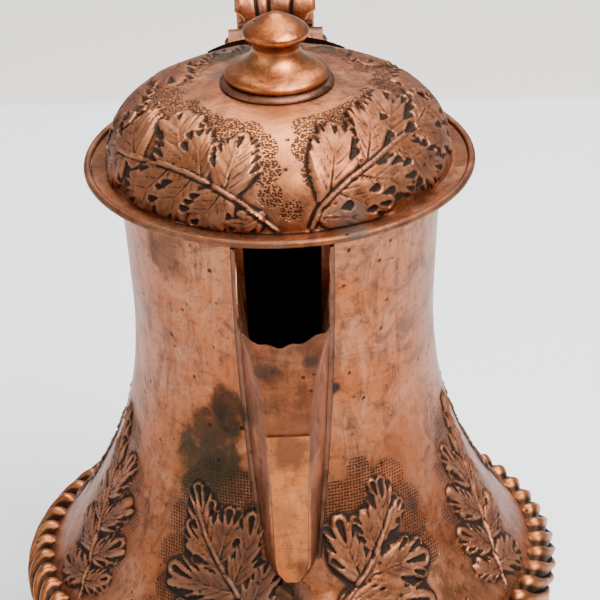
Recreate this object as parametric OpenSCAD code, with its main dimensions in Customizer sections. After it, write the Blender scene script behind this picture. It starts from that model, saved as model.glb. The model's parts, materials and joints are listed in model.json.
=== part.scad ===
// Copper jug with a beak spout, a domed and hinged lid and a strap handle.
// Millimetres. The vessel's axis is Z, the bench is z = 0, the spout points to -Y and the handle to +Y.

/* [Vessel] */
// Height of the mouth, the plane the lid's flange rests over
mouth_z = 232; // [225:1:240]
// Outer radius at the mouth
mouth_r = 53.9; // [53.4:0.1:54.4]
// Outer radius at the narrowest place of the neck
waist_r = 50.8; // [50:0.1:51.5]
// Height of the narrowest place of the neck
waist_z = 180; // [176:1:184]
// Outer radius where the shoulder meets the gadroon band
shoulder_r = 86.5; // [85:0.5:88]
// Height of the middle of the gadroon band
band_z = 77; // [75:1:79]
// Largest outer radius of the belly
belly_r = 92; // [90:0.5:93]
// Outer radius of the base
base_r = 62; // [58:1:64]
// Thickness of the raised copper sheet
wall = 1.2; // [1:0.1:1.4]

/* [Spout] */
// Height of the closed lower end of the spout
spout_z = 111; // [108:1:114]
// Height of the lip at its lowest place
lip_z = 204; // [200:1:208]
// How far the lip stands out from the axis
lip_y = 74.5; // [72:0.5:76]
// Half width of the window cut in the neck behind the spout
window_w = 12.5; // [11:0.5:12.5]
// Height of the window's lower end
window_z = 172; // [168:1:178]

/* [Lid] */
// Outer radius of the lid's flange
flange_r = 65; // [64:0.5:66]
// Outer radius of the dome where it meets the flange
dome_r = 57; // [56:0.5:57.5]
// Height of the dome above the mouth
dome_h = 28.8; // [27:0.2:30]
// Height of the knob's tip above the mouth
knob_h = 53; // [51:0.5:55]
// Radius of the knob's cap
cap_r = 11; // [10:0.5:12]

/* [Hinge] */
// Distance of the hinge pin behind the axis
pin_y = 66; // [66:0.5:67]
// Height of the hinge pin above the mouth
pin_h = 14; // [13.5:0.5:14.5]
// Radius of the hinge pin
pin_r = 1.75; // [1.5:0.05:1.9]

/* [Handle] */
// Width of the handle's outer strap
strap_w = 28.5; // [26:0.5:30]
// Thickness of each of the handle's two strips
strap_t = 2.2; // [1.8:0.1:2.6]
// Height of the handle's top above the mouth
handle_h = 32; // [30:1:34]
// Reach of the handle behind the axis
handle_y = 124; // [118:1:130]

/* [Hidden] */

COPPER = [0.74, 0.47, 0.36];
DARK_COPPER = [0.52, 0.31, 0.24];
BRIGHT_COPPER = [0.83, 0.56, 0.41];
TIN = [0.62, 0.62, 0.60];

round_fn = 96;          // facets asked for on turned shapes
clear = 0.3;            // gap between the lid and the fixed pieces
edge = 0.05;            // gap where a flat-sided piece meets a turned one

base_t = 1.6;           // thickness of the base plate
foot_z = 8;             // top of the foot ring
belly_z = 58;           // height of the belly's widest place
seam_half = 4;          // half the height between the two shells, which the band covers
bead_r = 7.5;           // radius of the band's half-round bead
rim_r = 1.3;            // radius of the wire in the mouth's rim
shoulder_z = band_z + seam_half;
neck_top = mouth_z - clear - 2 * rim_r;

pin_z = mouth_z + pin_h;
barrel_r = 5.2;         // outer radius of the moving knuckle
knuckle_r = 5.5;        // outer radius of the fixed knuckles
barrel_w = 8.7;         // half width of the moving knuckle
knuckle_w = 16.5;       // half width over the fixed knuckles
column_w = 13;          // half width of the bracket's column
column_y = pin_y + 6.2; // front face of the bracket's column
strap_y = pin_y + 10;   // front face of the strap where it stands on the column
rivet_r = 1.6;

// ---- curves of the vessel, radius for a height ----

function neck_r(z) = z > waist_z
    ? waist_r + (mouth_r - waist_r) * pow((z - waist_z) / (mouth_z - waist_z), 1.2)
    : waist_r + (shoulder_r - waist_r) * pow((waist_z - z) / (waist_z - shoulder_z), 2.3);

function belly_out(z) = z > belly_z
    ? belly_r - (belly_r - shoulder_r) * pow((z - belly_z) / (band_z - seam_half - belly_z), 2)
    : z > foot_z ? belly_r - (belly_r - base_r) * pow((belly_z - z) / (belly_z - foot_z), 2.4) : base_r;

function dome_z(r) = mouth_z + dome_h * pow(1 - pow(r / dome_r, 2.85), 1 / 2.85);

function steps(a, b, n) = [for (i = [0 : n]) a + (b - a) * i / n];
function turned(z0, z1, n, grow) = [for (z = steps(z0, z1, n)) [neck_r(z) + grow, z]];
function flipped(list) = [for (i = [len(list) - 1 : -1 : 0]) list[i]];

// a wall of revolution that follows the neck from z0 to z1, from grow_in to grow_out off its outside
module neck_skin(z0, z1, n, grow_in, grow_out, angle = 360) {
    rotate_extrude(angle = angle, $fn = round_fn)
        polygon(concat(turned(z0, z1, n, grow_out), flipped(turned(z0, z1, n, grow_in))));
}

// everything inside the neck's outline grown by grow, from z0 to z1
module neck_plug(z0, z1, n, grow) {
    rotate_extrude($fn = round_fn) polygon(concat([[0, z0]], turned(z0, z1, n, grow), [[0, z1]]));
}

// ---- vessel ----

module base_plate() {
    color(COPPER) cylinder(r = base_r, h = base_t, $fn = round_fn);
}

module foot_ring() {
    color(COPPER) rotate_extrude($fn = round_fn)
        polygon([[base_r, 0], [base_r + 4.6, 0], [base_r + 5, 1.2], [base_r + 4.4, 2.8],
                 [base_r + 2.4, 4.6], [base_r + 1.3, foot_z], [base_r, foot_z]]);
}

module belly_shell() {
    heights = concat([base_t], steps(foot_z, band_z - seam_half, 22));
    outside = [for (z = heights) [belly_out(z), z]];
    inside = [for (z = heights) [belly_out(z) - wall, z]];
    color(COPPER) rotate_extrude($fn = round_fn) polygon(concat(outside, flipped(inside)));
}

module gadroon_band() {
    bead = [for (a = steps(-76, 110, 24)) [shoulder_r + bead_r * cos(a), band_z + bead_r * sin(a)]];
    seat = [[shoulder_r + edge, shoulder_z], [shoulder_r - wall, shoulder_z],
            [shoulder_r - wall, band_z - seam_half], [shoulder_r + edge, band_z - seam_half]];
    hollow = [for (a = steps(-55, 55, 20)) [shoulder_r + (bead_r - wall) * cos(a), band_z + (bead_r - wall) * sin(a)]];
    color(BRIGHT_COPPER) rotate_extrude($fn = round_fn) difference() {
        polygon(concat(bead, seat));
        polygon(concat([[shoulder_r - 2 * wall, band_z - seam_half + wall]], hollow,
                       [[shoulder_r - 2 * wall, shoulder_z - wall]]));
        polygon(concat([[0, foot_z]],
                       [for (z = steps(foot_z, band_z - seam_half, 22)) [belly_out(z) + edge, z]],
                       [[0, band_z - seam_half]]));
        polygon(concat([[0, shoulder_z]], turned(shoulder_z, neck_top, 36, edge), [[0, neck_top]]));
    }
}

module window_cut() {
    translate([-window_w, -mouth_r - 20, window_z + window_w]) cube([2 * window_w, mouth_r, mouth_z]);
    translate([0, -20, window_z + window_w]) rotate([90, 0, 0]) cylinder(r = window_w, h = mouth_r, $fn = 64);
}

module neck_shell() {
    color(COPPER) difference() {
        neck_skin(shoulder_z, neck_top, 36, -wall, 0);
        window_cut();
        for (x = [-1, 1]) rivet_bore(x);
        for (x = [-1, 1]) leaf_bore(x);
    }
}

module rim_wire() {
    color(COPPER) difference() {
        translate([0, 0, neck_top]) rotate_extrude($fn = round_fn) {
            translate([mouth_r - wall / 2, rim_r]) circle(r = rim_r, $fn = 32);
            translate([mouth_r - wall, 0]) square([wall, rim_r]);
        }
        translate([-16.5, -mouth_r - 10, neck_top - 1]) cube([33, mouth_r, 10]);
    }
}

// ---- spout ----

spout_rows = 24;
bend_z = 160;           // where the spout's front line stands nearest the neck
bend_y = 66;

function front_y(z) = z < bend_z
    ? bend_y + 5 * pow((bend_z - z) / 49, 2)
    : bend_y + (lip_y - bend_y) * pow((z - bend_z) / (lip_z - bend_z), 1.7);
function panel_w(z) = 6 + 0.03 * (z - spout_z) + 5.2 * pow(max(0, z - 155) / 49, 2);
function groove_w(z) = 15.2 - 7.4 * pow((mouth_z - z) / 120, 2.4);
function on_neck(x, z) = [x, -sqrt(pow(neck_r(z) + edge, 2) - x * x), z];

// one rib of the trough, from its left edge on the neck round the front to its right edge
function half_rib(zf, zb, t) = let (
        zc = zf + 0.22 * (zb - zf),
        g = groove_w(zb) - t,
        p = panel_w(zf) - t,
        y = front_y(zf) - t,
        back = on_neck(g, zb))
    [back,
     [(g + p + 0.6) / 2, (back[1] - y + 1.6) / 2, (zb + zc) / 2],
     [p + 0.3, 1.8 - y, zc],
     [p - 0.7, 0.4 - y, zf + 0.1 * (zb - zf)],
     [p - 2.4, -y, zf]];
function rib(zf, zb, t) = let (h = half_rib(zf, zb, t))
    concat([for (p = h) [-p[0], p[1], p[2]]], [[0, t - front_y(zf), zf]], flipped(h));

RIB = 11;               // points in a rib
// the trough's ribs, lowest first; on the inside (t > 0) they start above the floor
function ribs(t) = [for (i = [0 : spout_rows])
    let (u = i / spout_rows, lift = t > 0 && i == 0 ? t : 0)
    each rib(spout_z + (lip_z - spout_z) * u + lift, spout_z + (neck_top - spout_z) * u + lift, t)];

// points across the neck between the trough's two edges, right to left, where its floor ends
function floor_arc(z, t, n) = [for (k = [1 : n - 1]) on_neck((groove_w(z) - t) * (1 - 2 * k / n), z)];

module spout_shell() {
    n = spout_rows;
    m = (n + 1) * RIB;      // first point of the inside
    arc = 6;
    low = 2 * m;            // first point of the floor's lower arc
    high = low + arc - 1;   // first point of its upper arc
    lower = concat([RIB - 1], [for (k = [0 : arc - 2]) low + k], [0]);
    upper = concat([m + RIB - 1], [for (k = [0 : arc - 2]) high + k], [m]);
    outside = [for (i = [0 : n - 1], j = [0 : RIB - 2]) let (k = i * RIB + j) [k, k + RIB, k + RIB + 1, k + 1]];
    inside = [for (f = outside) [m + f[0], m + f[3], m + f[2], m + f[1]]];
    brim = [for (j = [0 : RIB - 2]) let (k = n * RIB + j) [k, m + k, m + k + 1, k + 1]];
    left = [for (i = [0 : n - 1]) let (k = i * RIB) [k, m + k, m + k + RIB, k + RIB]];
    right = [for (i = [1 : n]) let (k = i * RIB - 1) [k, k + RIB, m + k + RIB, m + k]];
    back = [for (k = [0 : arc - 1]) [lower[k], upper[k], upper[k + 1], lower[k + 1]]];
    under = concat([for (j = [0 : RIB - 1]) j], [for (k = [0 : arc - 2]) low + k]);
    floor = concat([for (k = [arc - 2 : -1 : 0]) high + k], [for (j = [RIB - 1 : -1 : 0]) m + j]);
    color(COPPER) polyhedron(
        points = concat(ribs(0), ribs(wall), floor_arc(spout_z, 0, arc), floor_arc(spout_z + wall, wall, arc)),
        faces = concat(outside, inside, brim, left, right, back, [under, floor]),
        convexity = 6);
}

// a closed solid through rings of points, lowest ring first, each ring clockwise seen from above
module loft(rings) {
    n = len(rings);
    m = len(rings[0]);
    sides = [for (i = [0 : n - 2], j = [0 : m - 1]) let (k = (j + 1) % m)
        [i * m + j, i * m + k, (i + 1) * m + k, (i + 1) * m + j]];
    polyhedron(points = [for (r = rings) each r],
               faces = concat(sides, [[for (j = [m - 1 : -1 : 0]) j], [for (j = [0 : m - 1]) (n - 1) * m + j]]));
}

// the flat plate let on to the lower front of the spout
strip_top = 165;
strip_t = 0.7;
module spout_front_strip() {
    rings = [for (z = steps(spout_z + 1, strip_top, 18)) let (
            tip = min(1, sqrt((z - spout_z) / 5)),
            w = (panel_w(z) - 0.6) * tip,
            y = front_y(z) + 0.02)
        [[-w, -y, z], [w, -y, z], [w - 0.4, -y - strip_t, z], [0.4 - w, -y - strip_t, z]]];
    color(BRIGHT_COPPER) loft(rings);
}

// fillets of solder along the two grooves between spout and neck
module spout_seams() {
    color(DARK_COPPER) for (side = [0, 1]) mirror([side, 0, 0]) loft(
        [for (z = steps(spout_z + 5, mouth_z - 6, 26)) let (
                u = (z - spout_z) / (neck_top - spout_z),
                h = half_rib(spout_z + (lip_z - spout_z) * u, z, 0),
                side_dir = h[1] - h[0],
                wall_pt = h[0] + 0.16 * side_dir + [0.15, 0, 0],
                neck_pt = on_neck(groove_w(z) + 1.5, z) - [0, 0.03, 0],
                corner = h[0] + [0.12, -0.04, 0],
                swell = (wall_pt + neck_pt) / 2 + [0.35, -0.35, 0])
            [corner, neck_pt, [swell[0], swell[1], z], [wall_pt[0], wall_pt[1], z]]]);
}

// keeps what lies inside a front outline drawn in X and Z, on the side of the vessel that faces dir * Y
module through_y(dir) {
    rotate([90, 0, 0]) translate([0, 0, dir > 0 ? -mouth_r * 2 : 20]) linear_extrude(mouth_r * 2 - 20) children();
}

module spout_foot_scroll() {
    color(DARK_COPPER) intersection() {
        neck_skin(spout_z - 16, spout_z - 0.4, 8, edge, 1.5);
        through_y(-1) union() {
            for (x = [-1, 1]) translate([3.1 * x, spout_z - 4.6]) circle(r = 2.9, $fn = 32);
            translate([0, spout_z - 8.6]) circle(r = 3.6, $fn = 32);
            translate([-3.4, spout_z - 3.4]) square([6.8, 3.2]);
        }
    }
}

// ---- rivets: a shank along Y with a domed head at each end ----

module rivet(x, y0, y1, z) {
    translate([x, y0 - 0.3, z]) rotate([-90, 0, 0]) cylinder(r = rivet_r, h = y1 - y0 + 0.6, $fn = 24);
    translate([x, y0, z]) rotate([90, 0, 0]) rivet_head();
    translate([x, y1, z]) rotate([-90, 0, 0]) rivet_head();
}
module rivet_head() {
    rotate_extrude($fn = 24) polygon([[0, 0], [2.9, 0], [2.6, 0.6], [1.7, 1.1], [0, 1.3]]);
}
module bore_y(x, y0, y1, z) {
    translate([x, y0, z]) rotate([-90, 0, 0]) cylinder(r = rivet_r, h = y1 - y0, $fn = 24);
}

bracket_rivet_x = 6.5;
bracket_rivet_z = 207;
leaf_rivet_x = 7;
leaf_rivet_z = 133;
leaf_t = 1.6;

module rivet_bore(x) { bore_y(x * bracket_rivet_x, 40, 60, bracket_rivet_z); }
module leaf_bore(x) { bore_y(x * leaf_rivet_x, 40, 75, leaf_rivet_z); }
function back_y(x, z, grow) = sqrt(pow(neck_r(z) + grow, 2) - x * x);

// ---- hinge, fixed side ----

tongue_z = mouth_z - 10;
column_top = mouth_z + 18.5;

module hinge_bracket() {
    color(DARK_COPPER) difference() {
        union() {
            intersection() {
                neck_skin(196, mouth_z - 4, 8, edge, 1.8);
                through_y(1) polygon([[-4, 196], [4, 196], [10, 203], [column_w, 214], [column_w, 240],
                                      [-column_w, 240], [-column_w, 214], [-10, 203]]);
            }
            difference() {
                translate([-column_w, 40, tongue_z]) cube([2 * column_w, strap_y - 40, 6]);
                neck_plug(tongue_z - 4, mouth_z, 6, edge);
            }
            translate([-column_w, column_y, tongue_z]) cube([2 * column_w, strap_y - column_y, column_top - tongue_z]);
            for (x = [-knuckle_w, barrel_w + clear]) {
                translate([x, pin_y, pin_z]) rotate([0, 90, 0])
                    cylinder(r = knuckle_r, h = knuckle_w - barrel_w - clear, $fn = 48);
            }
            for (x = [-column_w, barrel_w + clear]) {
                translate([x, pin_y, pin_z - 3]) cube([column_w - barrel_w - clear, column_y - pin_y + 1, 6]);
            }
        }
        translate([-knuckle_w - 1, pin_y, pin_z]) rotate([0, 90, 0])
            cylinder(r = pin_r, h = 2 * knuckle_w + 2, $fn = 48);
        for (x = [-1, 1]) rivet_bore(x);
        for (x = [-1, 1]) strap_bore(x);
    }
}

module bracket_rivets() {
    color(DARK_COPPER) for (x = [-1, 1]) rivet(x * bracket_rivet_x,
        back_y(bracket_rivet_x, bracket_rivet_z, -wall - 0.2),
        back_y(bracket_rivet_x, bracket_rivet_z, 1.8), bracket_rivet_z);
}

module hinge_pin() {
    color(DARK_COPPER) translate([0, pin_y, pin_z]) rotate([0, 90, 0]) {
        cylinder(r = pin_r, h = 2 * knuckle_w, center = true, $fn = 48);
        for (end = [0, 1]) mirror([0, 0, end]) translate([0, 0, knuckle_w])
            rotate_extrude($fn = 32) polygon([[0, 0], [2.9, 0], [2.5, 0.8], [1.4, 1.4], [0, 1.5]]);
    }
}

// ---- handle: an outer strap and a narrower liner bent to one curve in the YZ plane ----

function bezier(a, b, c, d, n) = [for (t = steps(0, 1, n))
    pow(1 - t, 3) * a + 3 * t * pow(1 - t, 2) * b + 3 * t * t * (1 - t) * c + pow(t, 3) * d];
handle_top = mouth_z + handle_h;
stand_top = mouth_z + 21;
handle_line = concat(
    [[strap_y, mouth_z + 3]],
    bezier([strap_y, stand_top], [strap_y, handle_top - 3], [strap_y + 12, handle_top], [strap_y + 24, handle_top], 12),
    [for (p = bezier([strap_y + 24, handle_top], [handle_y - 10, handle_top], [handle_y, handle_top - 14],
                     [handle_y, mouth_z - 8], 14)) if (p[0] > strap_y + 24) p],
    [for (p = bezier([handle_y, mouth_z - 8], [handle_y, mouth_z - 52], [98, 150], [64, 104], 20))
        if (p[1] < mouth_z - 8) p]);

// the same line moved towards the fingers by d
function unit(v) = v / norm(v);
function towards_fingers(line, d) = [for (i = [0 : len(line) - 1]) let (
        a = line[max(0, i - 1)],
        b = line[min(len(line) - 1, i + 1)],
        u = unit(b - a))
    line[i] + d * [u[1], -u[0]]];

module strip_solid(from, to, width) {
    outer = towards_fingers(handle_line, from);
    inner = towards_fingers(handle_line, to);
    translate([-width / 2, 0, 0]) rotate([90, 0, 90])
        linear_extrude(width) polygon(concat(outer, flipped(inner)));
}
module past_leaf() { neck_plug(90, 150, 14, leaf_t + edge); }

strap_rivet_x = 6;
strap_rivet_z = mouth_z + 7;
module strap_bore(x) { bore_y(x * strap_rivet_x, column_y - 4, strap_y + 10, strap_rivet_z); }

module handle_strap() {
    color(COPPER) difference() {
        strip_solid(0, strap_t, strap_w);
        past_leaf();
        for (x = [-1, 1]) strap_bore(x);
        for (x = [-strap_w, 11]) translate([x, strap_y - 5, mouth_z]) cube([strap_w - 11, 12, column_top - mouth_z]);
    }
}

module handle_liner() {
    color(COPPER) difference() {
        strip_solid(strap_t, 2 * strap_t, strap_w - 8);
        past_leaf();
        for (x = [-1, 1]) strap_bore(x);
    }
}

module handle_upper_rivets() {
    color(DARK_COPPER) for (x = [-1, 1]) {
        translate([x * strap_rivet_x, column_y, strap_rivet_z]) rotate([-90, 0, 0])
            cylinder(r = rivet_r, h = strap_y + 2 * strap_t - column_y, $fn = 24);
        translate([x * strap_rivet_x, strap_y + 2 * strap_t, strap_rivet_z]) rotate([-90, 0, 0]) rivet_head();
    }
}

module handle_lower_leaf() {
    color(COPPER) difference() {
        intersection() {
            neck_skin(96, 144, 14, edge, leaf_t);
            through_y(1) union() {
                translate([0, 112]) circle(r = 15, $fn = 64);
                polygon([[-14.5, 116], [14.5, 116], [9, 134], [0, 144], [-9, 134]]);
            }
        }
        for (x = [-1, 1]) leaf_bore(x);
    }
}

module handle_lower_rivets() {
    color(DARK_COPPER) for (x = [-1, 1]) rivet(x * leaf_rivet_x,
        back_y(leaf_rivet_x, leaf_rivet_z, -wall - 0.2),
        back_y(leaf_rivet_x, leaf_rivet_z, leaf_t), leaf_rivet_z);
}

// ---- lid ----

stud_r = 3;
boss_r = 18.4;
boss_top = mouth_z + 30.6;
flange_t = 1.2;
wire_in = flange_r - 2.4;
dome_rise = [for (a = steps(0, 90, 26)) [dome_r * cos(a), dome_z(dome_r * cos(a))]];
arm_rivet_at = [12, 59.2];

module stud_bore() { translate([0, 0, mouth_z]) cylinder(r = stud_r, h = 40, $fn = 48); }
module arm_bores() {
    for (x = [-1, 1]) translate([x * arm_rivet_at[0], arm_rivet_at[1], mouth_z - 3]) cylinder(r = 1.2, h = 9, $fn = 24);
}

module lid_dome() {
    inner = [for (p = dome_rise) [p[0] * (1 - wall / dome_r), p[1] - wall * (p[1] - mouth_z) / dome_h]];
    color(COPPER) difference() {
        rotate_extrude($fn = round_fn) polygon(concat(
            [[wire_in, mouth_z], [wire_in, mouth_z + flange_t], [dome_r + 0.4, mouth_z + flange_t]],
            [for (p = dome_rise) if (p[1] > mouth_z + flange_t) p],
            flipped(inner)));
        stud_bore();
        arm_bores();
    }
}

module lid_rim_wire() {
    color(COPPER) rotate_extrude($fn = round_fn) intersection() {
        translate([flange_r - 1.3, mouth_z + 1]) circle(r = 1.3, $fn = 32);
        translate([wire_in, mouth_z - 5]) square([10, 10]);
    }
}

module lid_bezel() {
    out = mouth_r - wall - 1.5;
    seat = dome_r - wall - edge;
    color(TIN) rotate_extrude($fn = round_fn)
        polygon([[out - 1.2, mouth_z - 5], [out, mouth_z - 5], [out, mouth_z], [seat, mouth_z],
                 [seat, mouth_z + 1], [out - 1.2, mouth_z + 1]]);
}

module knob_boss() {
    seat = [for (r = steps(boss_r, 0, 10)) [r, dome_z(r) + 0.02]];
    color(COPPER) difference() {
        rotate_extrude($fn = round_fn) polygon(concat(
            seat, [[0, boss_top], [boss_r - 1.2, boss_top], [boss_r, boss_top - 0.9]]));
        stud_bore();
    }
}

module knob() {
    knob_z = mouth_z + knob_h;
    foot = boss_r - 1;
    color(BRIGHT_COPPER) difference() {
        rotate_extrude($fn = round_fn) polygon(concat(
            [[0, boss_top], [foot - 0.6, boss_top], [foot, boss_top + 0.8], [foot, boss_top + 1.8]],
            [for (a = steps(0, 80, 8)) [8 + (foot - 8) * (1 - sin(a)), boss_top + 2 + 8.4 * (1 - cos(a))]],
            [[8.2, knob_z - 9.6], [cap_r - 1.2, knob_z - 7.6], [cap_r, knob_z - 6.4], [cap_r, knob_z - 5.4]],
            [[cap_r - 1, knob_z - 4.2], [cap_r * 0.6, knob_z - 2], [cap_r * 0.3, knob_z - 0.6], [0, knob_z]]));
        translate([0, 0, mouth_z]) cylinder(r = stud_r, h = 42, $fn = 48);
    }
}

module knob_washer() {
    color(TIN) difference() {
        translate([0, 0, dome_z(9) - wall - 1.7]) cylinder(r = 9, h = 1.5, $fn = 48);
        stud_bore();
    }
}

module knob_stud() {
    low = dome_z(9) - wall - 1.7;
    color(DARK_COPPER) {
        translate([0, 0, low]) cylinder(r = stud_r, h = mouth_z + 42 - low, $fn = 48);
        translate([0, 0, low]) rotate([180, 0, 0])
            rotate_extrude($fn = 32) polygon([[0, 0], [5, 0], [4.4, 1], [2.6, 1.8], [0, 2]]);
    }
}

// ---- hinge, moving side ----

module hinge_arm() {
    foot_low = mouth_z + flange_t;
    color(DARK_COPPER) difference() {
        union() {
            intersection() {
                rotate_extrude($fn = round_fn) translate([dome_r + 0.7, foot_low]) square([4.6, 1.3]);
                translate([-16, 50, foot_low - 1]) cube([32, 20, 4]);
            }
            translate([-barrel_w, 0, 0]) rotate([90, 0, 90]) linear_extrude(2 * barrel_w) polygon([
                [dome_r + 1, foot_low], [dome_r + 4.6, foot_low], [dome_r + 5.2, pin_z - 6],
                [pin_y, pin_z - 3.6], [pin_y, pin_z + 3.6], [dome_r + 4.4, pin_z + 3.4], [dome_r + 1, pin_z - 3]]);
            translate([-barrel_w, pin_y, pin_z]) rotate([0, 90, 0]) cylinder(r = barrel_r, h = 2 * barrel_w, $fn = 48);
        }
        translate([-barrel_w - 1, pin_y, pin_z]) rotate([0, 90, 0])
            cylinder(r = pin_r + 0.05, h = 2 * barrel_w + 2, $fn = 48);
        arm_bores();
    }
}

module hinge_arm_rivets() {
    color(DARK_COPPER) for (x = [-1, 1]) translate([x * arm_rivet_at[0], arm_rivet_at[1], 0]) {
        translate([0, 0, mouth_z]) cylinder(r = 1.2, h = flange_t + 1.3, $fn = 24);
        translate([0, 0, mouth_z + flange_t + 1.3])
            rotate_extrude($fn = 24) polygon([[0, 0], [2, 0], [1.7, 0.6], [0, 0.9]]);
        translate([0, 0, mouth_z]) rotate([180, 0, 0])
            rotate_extrude($fn = 24) polygon([[0, 0], [2, 0], [1.7, 0.5], [0, 0.7]]);
    }
}

// the leaf that spreads from the knuckle forward over the back of the dome
module hinge_leaf() {
    color(COPPER) intersection() {
        rotate_extrude($fn = round_fn) polygon([
            [50, mouth_z + 22], [56, mouth_z + 21.6], [dome_r + 4.2, mouth_z + pin_h + 3.9 + 1],
            [dome_r + 4.2, mouth_z + pin_h + 5.3 + 1], [56, mouth_z + 23], [50, mouth_z + 23.4]]);
        linear_extrude(mouth_z + 40) polygon([
            [-23.5, 42], [23.5, 42], [21, 52], [16.5, 61.4], [8, 63.5], [-8, 63.5], [-16.5, 61.4], [-21, 52]]);
    }
}

base_plate();
foot_ring();
belly_shell();
gadroon_band();
neck_shell();
rim_wire();
spout_shell();
spout_front_strip();
spout_seams();
spout_foot_scroll();
hinge_bracket();
bracket_rivets();
hinge_pin();
handle_strap();
handle_liner();
handle_upper_rivets();
handle_lower_leaf();
handle_lower_rivets();
lid_dome();
lid_rim_wire();
lid_bezel();
hinge_arm();
hinge_arm_rivets();
hinge_leaf();
knob_boss();
knob();
knob_washer();
knob_stud();
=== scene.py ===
"""The looks of a raised copper jug: embossed sheets, chased band, beak spout, hinge, handle and metal."""

import json
import logging
import math
from collections.abc import Callable
from dataclasses import dataclass
from enum import Enum
from typing import ClassVar

import bpy
import numpy as np
from mathutils import Matrix, Vector


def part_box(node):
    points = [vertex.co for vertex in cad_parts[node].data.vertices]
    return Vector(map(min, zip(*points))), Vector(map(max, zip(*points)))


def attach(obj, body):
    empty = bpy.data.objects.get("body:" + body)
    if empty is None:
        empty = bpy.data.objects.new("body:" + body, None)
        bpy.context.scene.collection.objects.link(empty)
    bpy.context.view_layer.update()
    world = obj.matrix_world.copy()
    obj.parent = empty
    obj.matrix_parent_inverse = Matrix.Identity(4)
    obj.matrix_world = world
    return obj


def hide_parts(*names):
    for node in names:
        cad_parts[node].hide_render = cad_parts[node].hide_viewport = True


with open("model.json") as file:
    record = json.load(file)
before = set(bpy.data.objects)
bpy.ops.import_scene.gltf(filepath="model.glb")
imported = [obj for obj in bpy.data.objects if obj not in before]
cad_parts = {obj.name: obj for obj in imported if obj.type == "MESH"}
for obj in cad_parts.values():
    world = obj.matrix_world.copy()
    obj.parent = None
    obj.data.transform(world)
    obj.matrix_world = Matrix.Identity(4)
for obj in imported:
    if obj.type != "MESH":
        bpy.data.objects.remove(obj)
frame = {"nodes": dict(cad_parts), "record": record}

LOG = logging.getLogger("copper_jug")
MM = 0.001
JUG = "jug"
LID = "lid"
WALL = 1.2
REACH_ROUND = 2.2
# Near-black colour for hollows: painted shade in creases, grooves, scoops and under the hinge leaf, together
# with grime.
RECESS_SHADE_AND_GRIME = (0.011, 0.007, 0.005, 1)
# Punch marks are darkened with this colour: painted shade in each mark, together with grime.
PUNCHED = (0.020, 0.011, 0.007, 1)
PIT = (0.010, 0.006, 0.005, 1)
OLD_TIN = (0.075, 0.062, 0.052, 1)
LAID_FLAT = "flat"

Colour = tuple[float, float, float, float]
Point = tuple[float, float, float]
Spot = tuple[float, float, float]
Place = tuple[float, float]


class Mask(Enum):
    """Names of the per-point masks that the copper's colour and dents read."""

    # Where painted shade and grime darken the colour: recesses, creases, slits and the hinge leaf's
    # underside.
    HOLLOW = "hollow"
    # Where a painted highlight, with some rubbed wear, lightens raised relief.
    CREST = "highlight_and_wear"
    MATTING = "matting"
    STIPPLE = "stipple"
    TIN = "tin"
    PATINA = "patina"


# ---------------------------------------------------------------- curves of the vessel


@dataclass(frozen=True)
class NeckCurve:
    """Outer radius of the upper body against height, in millimetres.

    The neck narrows gently from the mouth to the waist, then flares to the shoulder.
    """

    mouth_z: float
    mouth_r: float = 53.9
    waist_z: float = 180.0
    waist_r: float = 50.8
    shoulder_z: float = 81.0
    shoulder_r: float = 86.5

    def radius(self, z: np.ndarray) -> np.ndarray:
        """Outer radius at each height.

        Args:
            z: heights above the base.

        Returns:
            The radii.
        """
        z = np.asarray(z, float)
        above = np.clip((z - self.waist_z) / (self.mouth_z - self.waist_z), 0, None)
        below = np.clip((self.waist_z - z) / (self.waist_z - self.shoulder_z), 0, None)
        return (self.waist_r + (self.mouth_r - self.waist_r) * above**1.2
                + (self.shoulder_r - self.waist_r) * below**2.3)

    def arc(self, z: np.ndarray) -> np.ndarray:
        """Measures up the sheet from the shoulder.

        Args:
            z: heights above the base.

        Returns:
            The distance along the sheet to each height.
        """
        heights = np.linspace(self.shoulder_z, self.mouth_z, 1500)
        run = np.hypot(np.diff(heights), np.diff(self.radius(heights)))
        return np.interp(z, heights, np.concatenate([[0.0], np.cumsum(run)]))


@dataclass(frozen=True)
class DomeCurve:
    """Section of the lid's dome, in millimetres: a superellipse from the flange to the crown."""

    base_z: float
    radius: float = 57.0
    rise: float = 28.8
    power: float = 2.85

    def height(self, r: np.ndarray) -> np.ndarray:
        """Height of the dome's outside at each distance from the axis."""
        inside = np.clip(1 - (np.asarray(r, float) / self.radius) ** self.power, 0, 1)
        return self.base_z + self.rise * inside ** (1 / self.power)

    def section(self, count: int) -> np.ndarray:
        """Points at even steps up the section, from the flange to the crown.

        Args:
            count: how many points.

        Returns:
            An array of (radius, height, distance from the flange).
        """
        turn = np.linspace(0, math.pi / 2, 4000)
        r = self.radius * np.cos(turn) ** (2 / self.power)
        z = self.base_z + self.rise * np.sin(turn) ** (2 / self.power)
        run = np.concatenate([[0.0], np.cumsum(np.hypot(np.diff(r), np.diff(z)))])
        even = np.linspace(0, run[-1], count)
        return np.stack([np.interp(even, run, r), np.interp(even, run, z), even], axis=1)


# ---------------------------------------------------------------- relief


def bezier(points: list[Place], count: int = 10) -> np.ndarray:
    """A smooth path from the first point to the last, drawn towards those between.

    Args:
        points: two or more places, in millimetres.
        count: number of points on the path.

    Returns:
        The path's points.
    """
    level = np.repeat(np.asarray(points, float)[:, None, :], count, axis=1)
    t = np.linspace(0, 1, count)[None, :, None]
    while len(level) > 1:
        level = level[:-1] * (1 - t) + level[1:] * t
    return level[0]


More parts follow.
